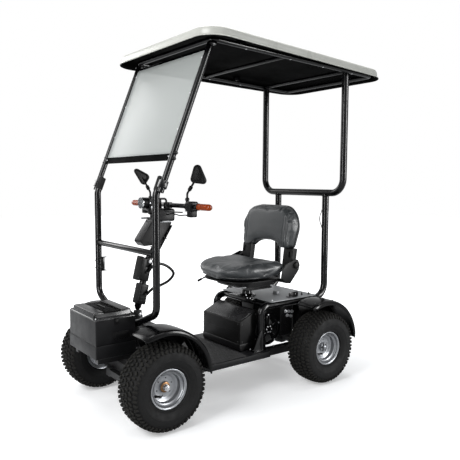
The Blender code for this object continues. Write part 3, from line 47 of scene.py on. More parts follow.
# Wheels and fenders
WHEEL_X = 0.328
AXLE_Y = {"front": -0.494, "rear": 0.494}
HUB_Z = 0.191
FENDER_RADIUS = 0.235
FENDER_Z = HUB_Z + 0.018
FENDER_ARC = 118

# Canopy frames
POST_X = 0.295
POST_Y = -0.502
POST_R = 0.016
KNEE_Z = 0.5
BEND_Z = 1.02
POST_TOP = 1.09
SLOPE = 0.395
SCREEN_X = 0.3256
SCREEN_R = 0.014
REAR_R = 0.019
REAR_X = 0.323
REAR_Y = 0.655
CROSS_Z = 1.017
DECK_X = 0.197
DECK_Z = 0.423
PILLAR_Y = 0.18
FLOOR_TOP = 0.1953
ROOF_FRONT_Y = -0.336
ROOF_REAR_Y = 0.925
ROOF_FRONT_Z = 1.693
ROOF_REAR_Z = 1.654
ROOF_FRONT_HALF = 0.448
ROOF_REAR_HALF = 0.389
FORMED_WALL = 0.0028
LOOP_X = 0.34
LOOP_FRONT_Y = -0.24
LOOP_RISE = 0.01
LOOP_R = 0.0125

# Steering
COLUMN_FOOT = (0, -0.437, 0.47)
COLUMN_TILT = (-radians(13.9), COLUMN_FOOT)
COLUMN_REACH = 0.2266
TILT_PIN = (0, -0.38255, 0.69)
TILLER_TILT = (-radians(33), TILT_PIN)
BAR_Y = -0.265
BAR_Z = 0.96


# Camera and light

def aim_camera():
    """The photograph's own viewpoint: place, turn, tilt and a slight roll."""
    azimuth = radians(52.445)
    pitch = radians(4.931)
    roll = radians(0.315)
    ahead = Vector((-sin(azimuth) * cos(pitch), cos(azimuth) * cos(pitch), -sin(pitch)))
    across = Vector((cos(azimuth), sin(azimuth), 0))
    upward = across.cross(ahead)
    right = across * cos(roll) + upward * sin(roll)
    top = upward * cos(roll) - across * sin(roll)
    data = bpy.data.cameras.new("studio_camera")
    data.lens = 43.228
    data.sensor_width = 36
    camera = bpy.data.objects.new("studio_camera", data)
    SCENE.collection.objects.link(camera)
    turn = Matrix((right, top, -ahead)).transposed().to_4x4()
    camera.matrix_world = Matrix.Translation((2.355, -1.687 + SHIFT, 1.073)) @ turn
    SCENE.camera = camera


def softbox(name, place, target, width, height, power):
    """A rectangular studio lamp that faces a target."""
    data = bpy.data.lights.new(name, "AREA")
    data.shape = "RECTANGLE"
    data.size = width
    data.size_y = height
    data.energy = power
    lamp = bpy.data.objects.new(name, data)
    lamp.location = place
    lamp.rotation_euler = (Vector(target) - Vector(place)).to_track_quat("-Z", "Y").to_euler()
    SCENE.collection.objects.link(lamp)
    return lamp


# Material tools

def linear(code, alpha=1):
    """An sRGB hex colour as linear light."""
    parts = [int(code[i:i + 2], 16) / 255 for i in (0, 2, 4)]
    return (*[c / 12.92 if c <= 0.04045 else ((c + 0.055) / 1.055) ** 2.4 for c in parts], alpha)


def add(tree, kind, sockets=None, **settings):
    """Add one node: its settings by name, its sockets from values or from other sockets."""
    made = tree.nodes.new(kind)
    for name, value in settings.items():
        setattr(made, name, value)
    for key, value in (sockets or {}).items():
        if isinstance(value, bpy.types.NodeSocket):
            tree.links.new(value, made.inputs[key])
        else:
            made.inputs[key].default_value = value
    return made


def per_mm(size):
    """The texture scale that gives features of a size in millimetres."""
    return 1000 / size


def begin(name, colour, roughness, metallic=0, shine=None):
    """A new material with its shader, its tree and the place of each surface point."""
    material = bpy.data.materials.new(name)
    material.use_nodes = True
    tree = material.node_tree
    shader = tree.nodes["Principled BSDF"]
    shader.inputs["Base Color"].default_value = linear(colour)
    shader.inputs["Roughness"].default_value = roughness
    shader.inputs["Metallic"].default_value = metallic
    if shine is not None:
        shader.inputs["Specular IOR Level"].default_value = shine
    place = add(tree, "ShaderNodeTexCoord").outputs["Object"]
    return material, tree, shader, place


def vary(tree, shader, place, size_mm, dark, light, rough_low, rough_high, detail=4):
    """Let colour and roughness drift over the surface, as handling and dust leave them."""
    drift = add(tree, "ShaderNodeTexNoise", {"Vector": place, "Scale": per_mm(size_mm),
                                             "Detail": detail, "Roughness": 0.6})
    mix = add(tree, "ShaderNodeMix", {"Factor": drift.outputs["Fac"], "A": linear(dark),
                                      "B": linear(light)}, data_type="RGBA")
    tree.links.new(mix.outputs[2], shader.inputs["Base Color"])
    span = add(tree, "ShaderNodeMapRange", {"Value": drift.outputs["Fac"], "From Min": 0.3,
                                            "From Max": 0.7, "To Min": rough_low,
                                            "To Max": rough_high})
    tree.links.new(span.outputs["Result"], shader.inputs["Roughness"])
    return drift


def finish(name, colour, rough, drift, metallic=0, shine=None, grain=()):
    """A whole finish: a base, its drift, and grains that are pressed in one over another.

    A grain is a texture, the size of its features in mm, its detail, how strong it shows and
    how deep it is in mm. "drift" presses the drift's own clouds in, and the detail of
    "DISTANCE_TO_EDGE" is the width of the crease round each cell.
    """
    material, tree, shader, place = begin(name, colour, rough, metallic, shine)
    clouds = vary(tree, shader, place, *drift)
    normal = None
    for kind, size_mm, detail, strength, depth_mm in grain:
        if kind == "drift":
            height = clouds.outputs["Fac"]
        elif kind == "noise":
            height = add(tree, "ShaderNodeTexNoise", {"Vector": place, "Scale": per_mm(size_mm),
                                                      "Detail": detail}).outputs["Fac"]
        else:
            height = add(tree, "ShaderNodeTexVoronoi", {"Vector": place, "Scale": per_mm(size_mm)},
                         feature=kind).outputs["Distance"]
            if kind == "DISTANCE_TO_EDGE":
                height = add(tree, "ShaderNodeMapRange",
                             {"Value": height, "From Max": detail}).outputs["Result"]
        sockets = {"Height": height, "Strength": strength, "Distance": depth_mm / 1000}
        if normal is not None:
            sockets["Normal"] = normal
        normal = add(tree, "ShaderNodeBump", sockets).outputs["Normal"]
    if normal is not None:
        tree.links.new(normal, shader.inputs["Normal"])
    return material


# Finishes

def powder_coated_steel():
    """Black powder coat: deep and glossy, with the faint orange peel of baked powder."""
    return finish("black_powder_coat", "080809", 0.24, (60, "040405", "08080A", 0.14, 0.24),
                  shine=0.24, grain=[("noise", 2.2, 2, 0.25, 0.15)])


def glossy_abs():
    """Injection-moulded ABS: near-mirror black with a slow waviness from the mould."""
    return finish("glossy_moulded_abs", "070708", 0.16, (45, "040405", "070708", 0.12, 0.22),
                  shine=0.15, grain=[("noise", 35, 1, 0.25, 0.8), ("noise", 1.5, 2, 0.1, 0.1)])


def grained_plastic(name, dark, light, rough=0.42, grain_mm=1.1, depth=0.16, shine=0.3):
    """Moulded polypropylene: satin, with a spark-eroded grain and dusty patches."""
    return finish(name, dark, rough, (55, dark, light, rough - 0.06, rough + 0.1), shine=shine,
                  grain=[("SMOOTH_F1", grain_mm, 0, 0.35, depth)])


def turf_tyre_rubber():
    """Vulcanised rubber: black-grey, dry, with a bloom of brown dust in the hollows."""
    return finish("vulcanised_rubber", "131313", 0.72, (25, "0C0C0D", "171717", 0.55, 0.8, 6),
                  shine=0.15, grain=[("noise", 0.9, 3, 0.35, 0.3), ("drift", 25, 6, 0.15, 0.6)])


def tread_rubber():
    """The tread's rubber: worn lug tops, browner and duller than the sidewall."""
    return finish("tread_rubber", "1F1D1B", 0.8, (12, "0C0C0B", "242320", 0.6, 0.88, 6),
                  shine=0.15, grain=[("noise", 1.2, 4, 0.5, 0.5)])


def silver_wheel_paint():
    """Silver wheel paint over pressed steel: fine flake, brushed round by handling and dust."""
    return finish("silver_wheel_paint", "898B8F", 0.36, (20, "7A7C80", "96989B", 0.28, 0.46, 5),
                  0.65, grain=[("F1", 0.8, 0, 0.12, 0.08)])


def zinc_plate():
    """Bright zinc plate: grey metal with the cloudy spangle of a barrel-plated part."""
    return finish("zinc_plated_steel", "C5C6C8", 0.34, (6, "A8A9AC", "DCDDDF", 0.25, 0.46, 3), 0.4)


def grimy_steel():
    """Painted steel low on the machine: dark grey, with road dust that dulls it."""
    return finish("dusty_painted_steel", "1E1E20", 0.45,
                  (18, "141416", "2C2C2D", 0.34, 0.58, 6), 0.3)


def brass():
    """Turned brass: dull warm metal, browned by dust and old grease."""
    return finish("turned_brass", "805E40", 0.4, (5, "5E432C", "8C6B4A", 0.34, 0.52), 0.8)


def thermoformed_acrylic():
    """Thermoformed roof sheet: off-white and glossy, slightly wavy from the mould."""
    return finish("thermoformed_white_sheet", "B4B5AF", 0.3,
                  (140, "A9AAA3", "BDBEB8", 0.24, 0.36), grain=[("noise", 90, 2, 0.3, 1.2)])


def roof_lining():
    """The roof's underside: black sprayed texture that swallows the light. It also lines the
    battery lid's channel as painted shade.
    """
    return finish("black_roof_lining", "101010", 0.85, (80, "020202", "060606", 0.8, 0.95),
                  shine=0.04, grain=[("noise", 3, 4, 0.5, 0.5)])


def upholstery_vinyl():
    """Upholstery vinyl: grey, embossed with a leather grain, and shiny where it is sat on."""
    return finish("embossed_vinyl", "35383A", 0.42, (90, "2F3234", "3C3F41", 0.32, 0.46),
                  grain=[("DISTANCE_TO_EDGE", 2.4, 0.12, 0.28, 0.22),
                         ("noise", 14, 3, 0.12, 0.7)])


def sewn_piping():
    """Vinyl piping and thread: the same grey, darker where the seam gathers dirt."""
    return finish("vinyl_piping", "232527", 0.5, (8, "1C1E20", "2C2E30", 0.42, 0.58))


def painted_sheet():
    """Light grey painted sheet: satin, scuffed where luggage and boots have rubbed."""
    return finish("grey_painted_sheet", "8E9092", 0.42, (35, "7C7E80", "9EA0A2", 0.32, 0.52, 6),
                  0.25, grain=[("noise", 4, 5, 0.08, 0.2)])


def amber_lens():
    """Amber polycarbonate: deep orange, with a faint painted glow in its own colour all over."""
    material, tree, shader, place = begin("amber_polycarbonate", "E0561A", 0.14, shine=0.2)
    drift = add(tree, "ShaderNodeTexNoise", {"Vector": place, "Scale": per_mm(9), "Detail": 2})
    mix = add(tree, "ShaderNodeMix", {"Factor": drift.outputs["Fac"], "A": linear("4A1200"),
                                      "B": linear("B84A00")}, data_type="RGBA")
    tree.links.new(mix.outputs[2], shader.inputs["Base Color"])
    # Painted glow: the lens colour is also given as a faint emission, though the lamps are off.
    tree.links.new(mix.outputs[2], shader.inputs["Emission Color"])
    shader.inputs["Emission Strength"].default_value = 0.03
    return material


def clear_acrylic(name="clear_acrylic", alpha=0.72, tint="A8ACAA", rough=0.3):
    """Clear acrylic sheet: a pale haze from scratches and dust, and a soft sheen."""
    material = finish(name, tint, rough, (160, tint, tint, rough, rough + 0.05), shine=0.1)
    shader = material.node_tree.nodes["Principled BSDF"]
    shader.inputs["IOR"].default_value = 1.49
    shader.inputs["Alpha"].default_value = alpha
    return material


def chromed_bezel():
    """Chrome plate: a bright neutral mirror."""
    return finish("chrome_plate", "D8D9DA", 0.1, (10, "C9CACB", "E2E3E4", 0.06, 0.16), 1)


def mirror_glass():
    """Silvered mirror glass: a clean, faintly cool reflection."""
    return finish("silvered_glass", "DDE1E2", 0.03, (50, "D8DCDD", "E4E7E8", 0.02, 0.05), 1)


def ribbed_rubber_mat():
    """Rubber floor mat: dull charcoal, with dust trodden into it."""
    return finish("moulded_rubber_mat", "151516", 0.7, (30, "101011", "212122", 0.58, 0.82, 6),
                  grain=[("noise", 1, 3, 0.4, 0.25)])


COAT = powder_coated_steel()
GLOSS = glossy_abs()
BOX_PLASTIC = grained_plastic("charcoal_polypropylene", "131314", "1A1A1C", 0.36, shine=0.15)
# Lighter and glossier than the box plastic; on the housing's sloping top it is a painted sheen.
LID_PLASTIC = grained_plastic("lid_polypropylene", "202021", "2A2A2B", 0.24, shine=0.4)
HOUSING = grained_plastic("dark_polypropylene", "060606", "0B0B0B", 0.42, shine=0.12)
TRIM = grained_plastic("black_polypropylene", "070708", "0E0E0F", 0.36, 0.9, 0.12, 0.14)
SEAT_SHELL = grained_plastic("textured_seat_shell", "080809", "101011", 0.46, 1.6, 0.35, 0.15)
RUBBER = turf_tyre_rubber()
TREAD = tread_rubber()
WHEEL_PAINT = silver_wheel_paint()
ZINC = zinc_plate()
GRIMY = grimy_steel()
BRASS = brass()
ROOF = thermoformed_acrylic()
BLACK_LINING_AND_SHADE = roof_lining()
VINYL = upholstery_vinyl()
PIPING = sewn_piping()
SHEET_GREY = painted_sheet()
AMBER = amber_lens()
ACRYLIC = clear_acrylic()
LAMP_GLASS = clear_acrylic("lamp_polycarbonate", 0.55, "6E7072", 0.08)
CHROME = chromed_bezel()
MIRROR = mirror_glass()
MAT = ribbed_rubber_mat()

# The record's slot for each finish, kept as a table that nothing below reads
SLOT_OF = {
    "black_powder_coat": (COAT,), "black_plastic": (GLOSS, TRIM, SEAT_SHELL),
    "battery_case": (BOX_PLASTIC, LID_PLASTIC), "charcoal_plastic": (HOUSING, MAT),
    "tyre": (RUBBER, TREAD), "silver_rim": (WHEEL_PAINT,), "roof_white": (ROOF,),
    "zinc_steel": (ZINC, GRIMY, BRASS, CHROME, MIRROR), "black_trim": (BLACK_LINING_AND_SHADE,),
    "vinyl": (VINYL, PIPING), "plate_grey": (SHEET_GREY,), "amber": (AMBER,),
    "clear": (ACRYLIC, LAMP_GLASS),
}
SLOT_OF = {material: slot for slot, materials in SLOT_OF.items() for material in materials}
SIDES = (("left", 1), ("right", -1))


# Studio

def studio_world():
    """Even pale light all round, which the camera, gloss and glass see as a white backdrop."""
    world = bpy.data.worlds.new("studio")
    SCENE.world = world
    world.use_nodes = True
    tree = world.node_tree
    ambient = tree.nodes["Background"]
    ambient.inputs["Color"].default_value = linear("F4F6F8")
    ambient.inputs["Strength"].default_value = 0.48
    backdrop = add(tree, "ShaderNodeBackground", {"Color": (1, 1, 1, 1), "Strength": 1})
    rays = add(tree, "ShaderNodeLightPath")
    seen = add(tree, "ShaderNodeMath", {0: rays.outputs["Is Camera Ray"],
                                        1: rays.outputs["Is Transmission Ray"]},
               operation="MAXIMUM")
    gloss = add(tree, "ShaderNodeMath", {0: rays.outputs["Is Glossy Ray"], 1: 0.36},
                operation="MULTIPLY")
    share = add(tree, "ShaderNodeMath", {0: seen.outputs["Value"], 1: gloss.outputs["Value"]},
                operation="MAXIMUM")
    mix = add(tree, "ShaderNodeMixShader", {"Fac": share.outputs["Value"],
                                            1: ambient.outputs["Background"],
                                            2: backdrop.outputs["Background"]})
    tree.links.new(mix.outputs["Shader"], tree.nodes["World Output"].inputs["Surface"])


def studio_floor():
    """A seamless pale floor: white to the camera, with the machine's soft shadow kept on it."""
    material, tree, shader, place = begin("seamless_paper", "EEEFF0", 0.9, shine=0.1)
    rays = add(tree, "ShaderNodeLightPath")
    away = add(tree, "ShaderNodeVectorMath", {0: place}, operation="LENGTH")
    fade = add(tree, "ShaderNodeMapRange", {"Value": away.outputs["Value"], "From Min": 0.9,
                                            "From Max": 2.6, "To Min": 0.34, "To Max": 1})
    seen = add(tree, "ShaderNodeMath", {0: rays.outputs["Is Camera Ray"],
                                        1: fade.outputs["Result"]}, operation="MULTIPLY")
    shader.inputs["Emission Color"].default_value = (1, 1, 1, 1)
    tree.links.new(seen.outputs["Value"], shader.inputs["Emission Strength"])
    mesh = bpy.data.meshes.new("studio_floor")
    mesh.from_pydata([(-14, -14, 0), (14, -14, 0), (14, 14, 0), (-14, 14, 0)], [], [(0, 1, 2, 3)])
    floor = bpy.data.objects.new("studio_floor", mesh)
    SCENE.collection.objects.link(floor)
    mesh.materials.append(material)


SCENE.view_settings.view_transform = "Standard"
aim_camera()
studio_world()
studio_floor()
softbox("key_softbox", (0.7, -3.7, 3.2), (0, -0.1, 0.6), 2.2, 1.8, 125)
softbox("side_softbox", (3.6, 0.8, 2.4), (0, 0.1, 0.6), 1.8, 1.8, 18)
softbox("top_softbox", (-0.6, 0.6, 4.2), (0, 0, 0.6), 2.6, 2.6, 105)
softbox("far_softbox", (-3.4, -1.2, 2.2), (0, 0, 0.7), 1.8, 1.8, 45)
for lamp in (softbox("right_strip", (3.3, 1.9, 1.5), (0, 0, 0.8), 0.7, 2.6, 190),
             softbox("left_strip", (0.9, -3.5, 1.4), (0, 0, 0.8), 0.45, 2.4, 90)):
    lamp.visible_diffuse = False


# Makers

AXIS_TURN = {
    "X": Matrix.Rotation(radians(90), 4, "Y"),
    "-X": Matrix.Rotation(radians(-90), 4, "Y"),
    "Y": Matrix.Rotation(radians(-90), 4, "X"),
    "-Y": Matrix.Rotation(radians(90), 4, "X"),
    "Z": Matrix.Identity(4),
}


def link(name, data):
    """A new object in the scene."""
    thing = bpy.data.objects.new(name, data)
    SCENE.collection.objects.link(thing)
    return thing


def from_shape(name, shape):
    """An object from an edit mesh, which is used up."""
    mesh = bpy.data.meshes.new(name)
    shape.to_mesh(mesh)
    shape.free()
    return link(name, mesh)


def merged(thing, reach=0.00001):
    """Join points that lie together and turn the faces outwards."""
    shape = bmesh.new()
    shape.from_mesh(thing.data)
    bmesh.ops.remove_doubles(shape, verts=shape.verts, dist=reach)
    bmesh.ops.recalc_face_normals(shape, faces=shape.faces)
    shape.to_mesh(thing.data)
    shape.free()
    return thing


def from_faces(name, points, faces):
    """An object from points and faces, its normals turned outwards."""
    mesh = bpy.data.meshes.new(name)
    mesh.from_pydata([tuple(point) for point in points], [], faces)
    return merged(link(name, mesh), 0.00002)


def modify(thing, kind, **settings):
    """Add a modifier with its settings."""
    step = thing.modifiers.new(kind.lower(), kind)
    for name, value in settings.items():
        setattr(step, name, value)
    return thing


def bake(thing):
    """Turn modifiers, a curve or a placed object into a plain mesh at the origin."""
    bpy.context.view_layer.update()
    graph = bpy.context.evaluated_depsgraph_get()
    mesh = bpy.data.meshes.new_from_object(thing.evaluated_get(graph))
    mesh.transform(thing.matrix_world)
    name = thing.name
    bpy.data.objects.remove(thing, do_unlink=True)
    baked = link(name, mesh)
    baked.name = name
    return baked


def soften(thing, angle=35):
    """Shade a mesh smooth, apart from its sharp edges."""
    thing.data.shade_smooth()
    thing.data.set_sharp_from_angle(angle=radians(angle))
    return thing


def bevelled(thing, width, segments=3, angle=35):
    """Round the edges of a piece, as moulding, folding or filing leaves them."""
    return bake(modify(thing, "BEVEL", width=width, segments=segments, limit_method="ANGLE",
                       angle_limit=radians(angle)))


def walled(thing, thickness, offset):
    """Give an open skin a wall, to one side of it or to both."""
    return bake(modify(thing, "SOLIDIFY", thickness=thickness, offset=offset))


def block(name, corner, opposite, edge=0.0015, segments=2):
    """A block between two opposite corners, its edges rounded."""
    spans = [sorted(pair) for pair in zip(corner, opposite)]
    shape = bmesh.new()
    bmesh.ops.create_cube(shape, size=1)
    for vert in shape.verts:
        vert.co = Vector([(vert.co[i] + 0.5) * (high - low) + low
                          for i, (low, high) in enumerate(spans)])
    thing = from_shape(name, shape)
    return bevelled(thing, edge, segments) if edge else thing


def turned(name, profile, centre, axis="Z", steps=48, ring=False):
    """A turned form from radius and height pairs."""
    mesh = bpy.data.meshes.new(name)
    edges = [(i, i + 1) for i in range(len(profile) - 1)]
    if ring:
        edges.append((len(profile) - 1, 0))
    mesh.from_pydata([(radius, 0, height) for radius, height in profile], edges, [])
    thing = modify(link(name, mesh), "SCREW", steps=steps, render_steps=steps,
                   use_merge_vertices=True, merge_threshold=0.00001)
    thing.matrix_world = Matrix.Translation(Vector(centre)) @ AXIS_TURN[axis]
    return soften(merged(bake(thing)))


def rod(name, start, end, radius, steps=20, edge=0.0008):
    """A straight round bar between two points, its ends chamfered."""
    start, end = Vector(start), Vector(end)
    along = end - start
    shape = bmesh.new()
    bmesh.ops.create_cone(shape, cap_ends=True, segments=steps, radius1=radius, radius2=radius,
                          depth=along.length)
    turn = along.to_track_quat("Z", "Y").to_matrix().to_4x4()
    shape.transform(Matrix.Translation((start + end) / 2) @ turn)
    thing = from_shape(name, shape)
    return soften(bevelled(thing, edge, 2, 60) if edge else thing)


def rounded_path(points, bend, steps=10):
    """The corner points of a bent tube, each inner corner turned into an arc."""
    points = [Vector(point) for point in points]
    path = [points[0]]
    for before, corner, after in zip(points, points[1:], points[2:]):
        back = (before - corner).normalized()
        ahead = (after - corner).normalized()
        half = back.angle(ahead) / 2
        reach = bend / tan(half)
        centre = corner + (back + ahead).normalized() * (bend / sin(half))
        first = corner + back * reach - centre
        last = corner + ahead * reach - centre
        sweep = first.angle(last)
        for i in range(steps + 1):
            part = i / steps
            share = first * sin((1 - part) * sweep) + last * sin(part * sweep)
            path.append(centre + share / sin(sweep))
    path.append(points[-1])
    return path


def flowing(points, steps=6):
    """A smooth path through points, as a cable or a bent wire takes."""
    points = [Vector(point) for point in points]
    ends = [points[0] * 2 - points[1]] + points + [points[-1] * 2 - points[-2]]
    path = []
    for a, b, c, d in zip(ends, ends[1:], ends[2:], ends[3:]):
        for i in range(steps):
            t = i / steps
            path.append(0.5 * (b * 2 + (c - a) * t + (a * 2 - b * 5 + c * 4 - d) * t * t
                               + (b * 3 - a - c * 3 + d) * t * t * t))
    path.append(points[-1])
    return path


def stepped_curve(name, points, closed, **settings):
    """A curve of straight steps through points, with its settings."""
    curve = bpy.data.curves.new(name, "CURVE")
    for key, value in settings.items():
        setattr(curve, key, value)
    spline = curve.splines.new("POLY")
    spline.points.add(len(points) - 1)
    for point, place in zip(spline.points, points):
        point.co = (*place, 1)
    spline.use_cyclic_u = closed
    return link(name, curve)


def tube(name, path, radius, closed=False, resolution=8):
    """A round tube or wire along a path."""
    curve = stepped_curve(name, path, closed, dimensions="3D", bevel_depth=radius,
                          bevel_resolution=resolution, use_fill_caps=not closed)
    return soften(bake(curve), 50)


def slab(name, outline, thickness, place, edge=0.0012, segments=2):
    """A flat outline made solid, its thickness centred on the outline's plane."""
    curve = stepped_curve(name, [(across, along, 0) for across, along in outline], True,
                          dimensions="2D", fill_mode="BOTH", extrude=thickness / 2)
    curve.matrix_world = place
    thing = merged(bake(curve))
    return bevelled(thing, edge, segments, 50) if edge else thing


def lying(height):
    """The place of an outline that lies flat, its points being X and Y."""
    return Matrix.Translation((0, 0, height))


def standing(depth):
    """The place of an outline that faces the front, its points being X and Z."""
    return Matrix.Translation((0, depth, 0)) @ Matrix.Rotation(radians(90), 4, "X")


def sideways(across):
    """The place of an outline that faces the side, its points being Y and Z."""
    turn = Matrix(((0, 0, 1, 0), (1, 0, 0, 0), (0, 1, 0, 0), (0, 0, 0, 1)))
    return Matrix.Translation((across, 0, 0)) @ turn


def cut(thing, *cutters):
    """Cut a piece with cutters, which are used up."""
    for cutter in cutters:
        modify(thing, "BOOLEAN", operation="DIFFERENCE", solver="EXACT", object=cutter)
    thing = bake(thing)
    for cutter in cutters:
        bpy.data.objects.remove(cutter, do_unlink=True)
    return thing


def lean(thing, angle, pivot):
    """Turn a piece about a line along X through a pivot."""
    spot = Matrix.Translation(Vector(pivot))
    thing.data.transform(spot @ Matrix.Rotation(angle, 4, "X") @ spot.inverted())
    return thing


def gathered(name, pieces):
    """Several pieces as one object."""
    shape = bmesh.new()
    for piece in pieces:
        shape.from_mesh(piece.data)
        bpy.data.objects.remove(piece, do_unlink=True)
    return from_shape(name, shape)


def corner_arc(centre, radius, start, end, steps=8):
    """Points round a corner, angles in degrees."""
    return [(centre[0] + radius * cos(radians(start + (end - start) * i / steps)),
             centre[1] + radius * sin(radians(start + (end - start) * i / steps)))
            for i in range(steps + 1)]


def half_circle(radius, step):
    """The profile of a ball, from pole to pole by steps in degrees."""
    return [(radius * sin(radians(a)), radius * cos(radians(a))) for a in range(0, 181, step)]


def mirrored(points):
    """An outline's right half followed by its mirror image."""
    return points + [(-across, along) for across, along in reversed(points)]


def rounded_plan(half_width, front, rear, radius, steps=8):
    """A rectangle with round corners, as X and Y."""
    right = corner_arc((half_width - radius, front + radius), radius, -90, 0, steps)
    right += corner_arc((half_width - radius, rear - radius), radius, 0, 90, steps)
    return mirrored(right)


def stacked(name, rings, close_low=True):
    """A skin over rings of points, closed above and, unless told not to, below."""
    points = [point for ring in rings for point in ring]
    count = len(rings[0])
    faces = []
    for row in range(len(rings) - 1):
        for i in range(count):
            j = (i + 1) % count
            a = row * count
            faces.append((a + i, a + j, a + count + j, a + count + i))
    if close_low:
        faces.append(tuple(range(count))[::-1])
    faces.append(tuple(range((len(rings) - 1) * count, len(rings) * count)))
    return from_faces(name, points, faces)


def settle(thing, body, material, *nodes, slot=None, smooth=35):
    """Finish a piece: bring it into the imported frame, paint it and let it ride."""
    thing.data.transform(Matrix.Translation((0, SHIFT, 0)))
    thing.data.materials.clear()
    thing.data.materials.append(material)
    if smooth:
        soften(thing, smooth)
    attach(thing, body)
    if nodes:
        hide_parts(*nodes)
    return thing


def join(name, pieces, *ride, **look):
    """Finish several pieces as one object."""
    return settle(gathered(name, pieces), *ride, **look)


def set_out_tree():
    """Geometry Nodes: the same item on every point, its top towards "facing"."""
    tree = bpy.data.node_groups.new("set_out", "GeometryNodeTree")
    sides = tree.interface
    for name, kind in (("Points", "Geometry"), ("Item", "Object"), ("Finish", "Material")):
        sides.new_socket(name, in_out="INPUT", socket_type="NodeSocket" + kind)
    sides.new_socket("Result", in_out="OUTPUT", socket_type="NodeSocketGeometry")
    start = add(tree, "NodeGroupInput")
    facing = add(tree, "GeometryNodeInputNamedAttribute", {"Name": "facing"},
                 data_type="FLOAT_VECTOR")
    along = add(tree, "GeometryNodeInputNamedAttribute", {"Name": "along"},
                data_type="FLOAT_VECTOR")
    upright = add(tree, "FunctionNodeAlignRotationToVector",
                  {"Vector": facing.outputs["Attribute"]}, axis="Z")
    turn = add(tree, "FunctionNodeAlignRotationToVector",
               {"Rotation": upright.outputs["Rotation"], "Vector": along.outputs["Attribute"]},
               axis="X", pivot_axis="Z")
    item = add(tree, "GeometryNodeObjectInfo", {"Object": start.outputs["Item"]})
    spread = add(tree, "GeometryNodeInstanceOnPoints", {
        "Points": start.outputs["Points"], "Instance": item.outputs["Geometry"],
        "Rotation": turn.outputs["Rotation"]})
    real = add(tree, "GeometryNodeRealizeInstances", {"Geometry": spread.outputs["Instances"]})
    paint = add(tree, "GeometryNodeSetMaterial", {"Geometry": real.outputs["Geometry"],
                                                  "Material": start.outputs["Finish"]})
    add(tree, "NodeGroupOutput", {"Result": paint.outputs["Geometry"]})
    return tree


SET_OUT = set_out_tree()


def set_out(name, item, spots, material):
    """Set an item out on spots, each a place, a facing direction and a lengthwise direction.

    The item itself is used up.
    """
    mesh = bpy.data.meshes.new(name)
    mesh.from_pydata([tuple(spot[0]) for spot in spots], [], [])
    for label, index in (("facing", 1), ("along", 2)):
        layer = mesh.attributes.new(label, "FLOAT_VECTOR", "POINT")
        for value, spot in zip(layer.data, spots):
            value.vector = spot[index]
    thing = link(name, mesh)
    nodes = thing.modifiers.new("set_out", "NODES")
    nodes.node_group = SET_OUT
    values = {"Item": item, "Finish": material}
    for socket in SET_OUT.interface.items_tree:
        if socket.in_out == "INPUT" and socket.name in values:
            nodes[socket.identifier] = values[socket.name]
    thing = bake(thing)
    bpy.data.objects.remove(item, do_unlink=True)
    return thing


def hex_head(name="hex_item", across=0.0065, tall=0.005):
    """A hexagon bolt head on its washer, standing on the origin."""
    washer = rod("washer", (0, 0, -0.0005), (0, 0, 0.0012), across * 1.15, 16, 0.0003)
    head = rod("head", (0, 0, 0.001), (0, 0, tall), across * 0.82, 6, 0.0005)
    return gathered(name, [washer, head])


def dome_head(name="dome_item", radius=0.005, tall=0.003):
    """A round button head, standing on the origin."""
    return turned(name, [(0, tall), (radius * 0.45, tall * 0.9), (radius * 0.85, tall * 0.5),
                         (radius, 0), (radius, -0.0008), (0, -0.0008)], (0, 0, 0), "Z", 14)


def fasten(name, item, spots, body, material, slot=None, smooth=35):
    """Set an item out on spots and let the whole ride."""
    return settle(set_out(name, item, spots, material), body, material, slot=slot, smooth=smooth)


UP, FORE, SIDE = (0, 0, 1), (0, -1, 0), (1, 0, 0)


# Wheels and fenders

TYRE_SECTION = [
    (0.1832, 0), (0.183, 0.02), (0.1818, 0.036), (0.1785, 0.051), (0.1725, 0.0635),
    (0.164, 0.071), (0.153, 0.0752), (0.14, 0.0765), (0.1345, 0.0764), (0.1335, 0.0772),
    (0.13, 0.0772), (0.129, 0.0758), (0.118, 0.0735), (0.106, 0.069), (0.1, 0.064),
    (0.0965, 0.064), (0.095, 0.06), (0.0905, 0.056), (0.0896, 0.0535), (0.0896, 0.0517),
    (0.077, 0.0517),
]
LUGS_ROUND = 54


def lug_item():
    """One tread lug: a rounded block, longer across the tyre than round it."""
    return block("lug_item", (-0.0098, -0.0047, -0.004), (0.0098, 0.0047, 0.0078), 0.002, 1)


def spoke(angle):
    """A direction in the plane of a wheel, its angle in radians."""
    return Vector((0, cos(angle), sin(angle)))


def tread_spots(centre):
    """Where the lugs stand: five leaning rows on the crown and a row on each shoulder."""
    axis = Vector(SIDE)
    rows = [(0, 0.1838, 0, 0), (0.0255, 0.1832, 0.5, 0.1), (-0.0255, 0.1832, 0.5, -0.1),
            (0.049, 0.1795, 0, 0.32), (-0.049, 0.1795, 0, -0.32),
            (0.0668, 0.169, 0.5, 0.95), (-0.0668, 0.169, 0.5, -0.95)]
    spots = []
    for across, radius, phase, tip in rows:
        for i in range(LUGS_ROUND):
            angle = 2 * pi * (i + phase) / LUGS_ROUND
            out = spoke(angle)
            round_ = Vector((0, -sin(angle), cos(angle)))
            facing = out * cos(tip) + axis * sin(tip)
            level = axis * cos(tip) - out * sin(tip)
            skew = radians(26 + 18 * (-1) ** i) * (1 if across > 0 else -1)
            if across == 0:
                skew = radians(-34 if i % 2 else 34)
            length = level * cos(skew) + round_ * sin(skew)
            place = Vector(centre) + out * radius + axis * across
            spots.append((place, facing, length))
    return spots


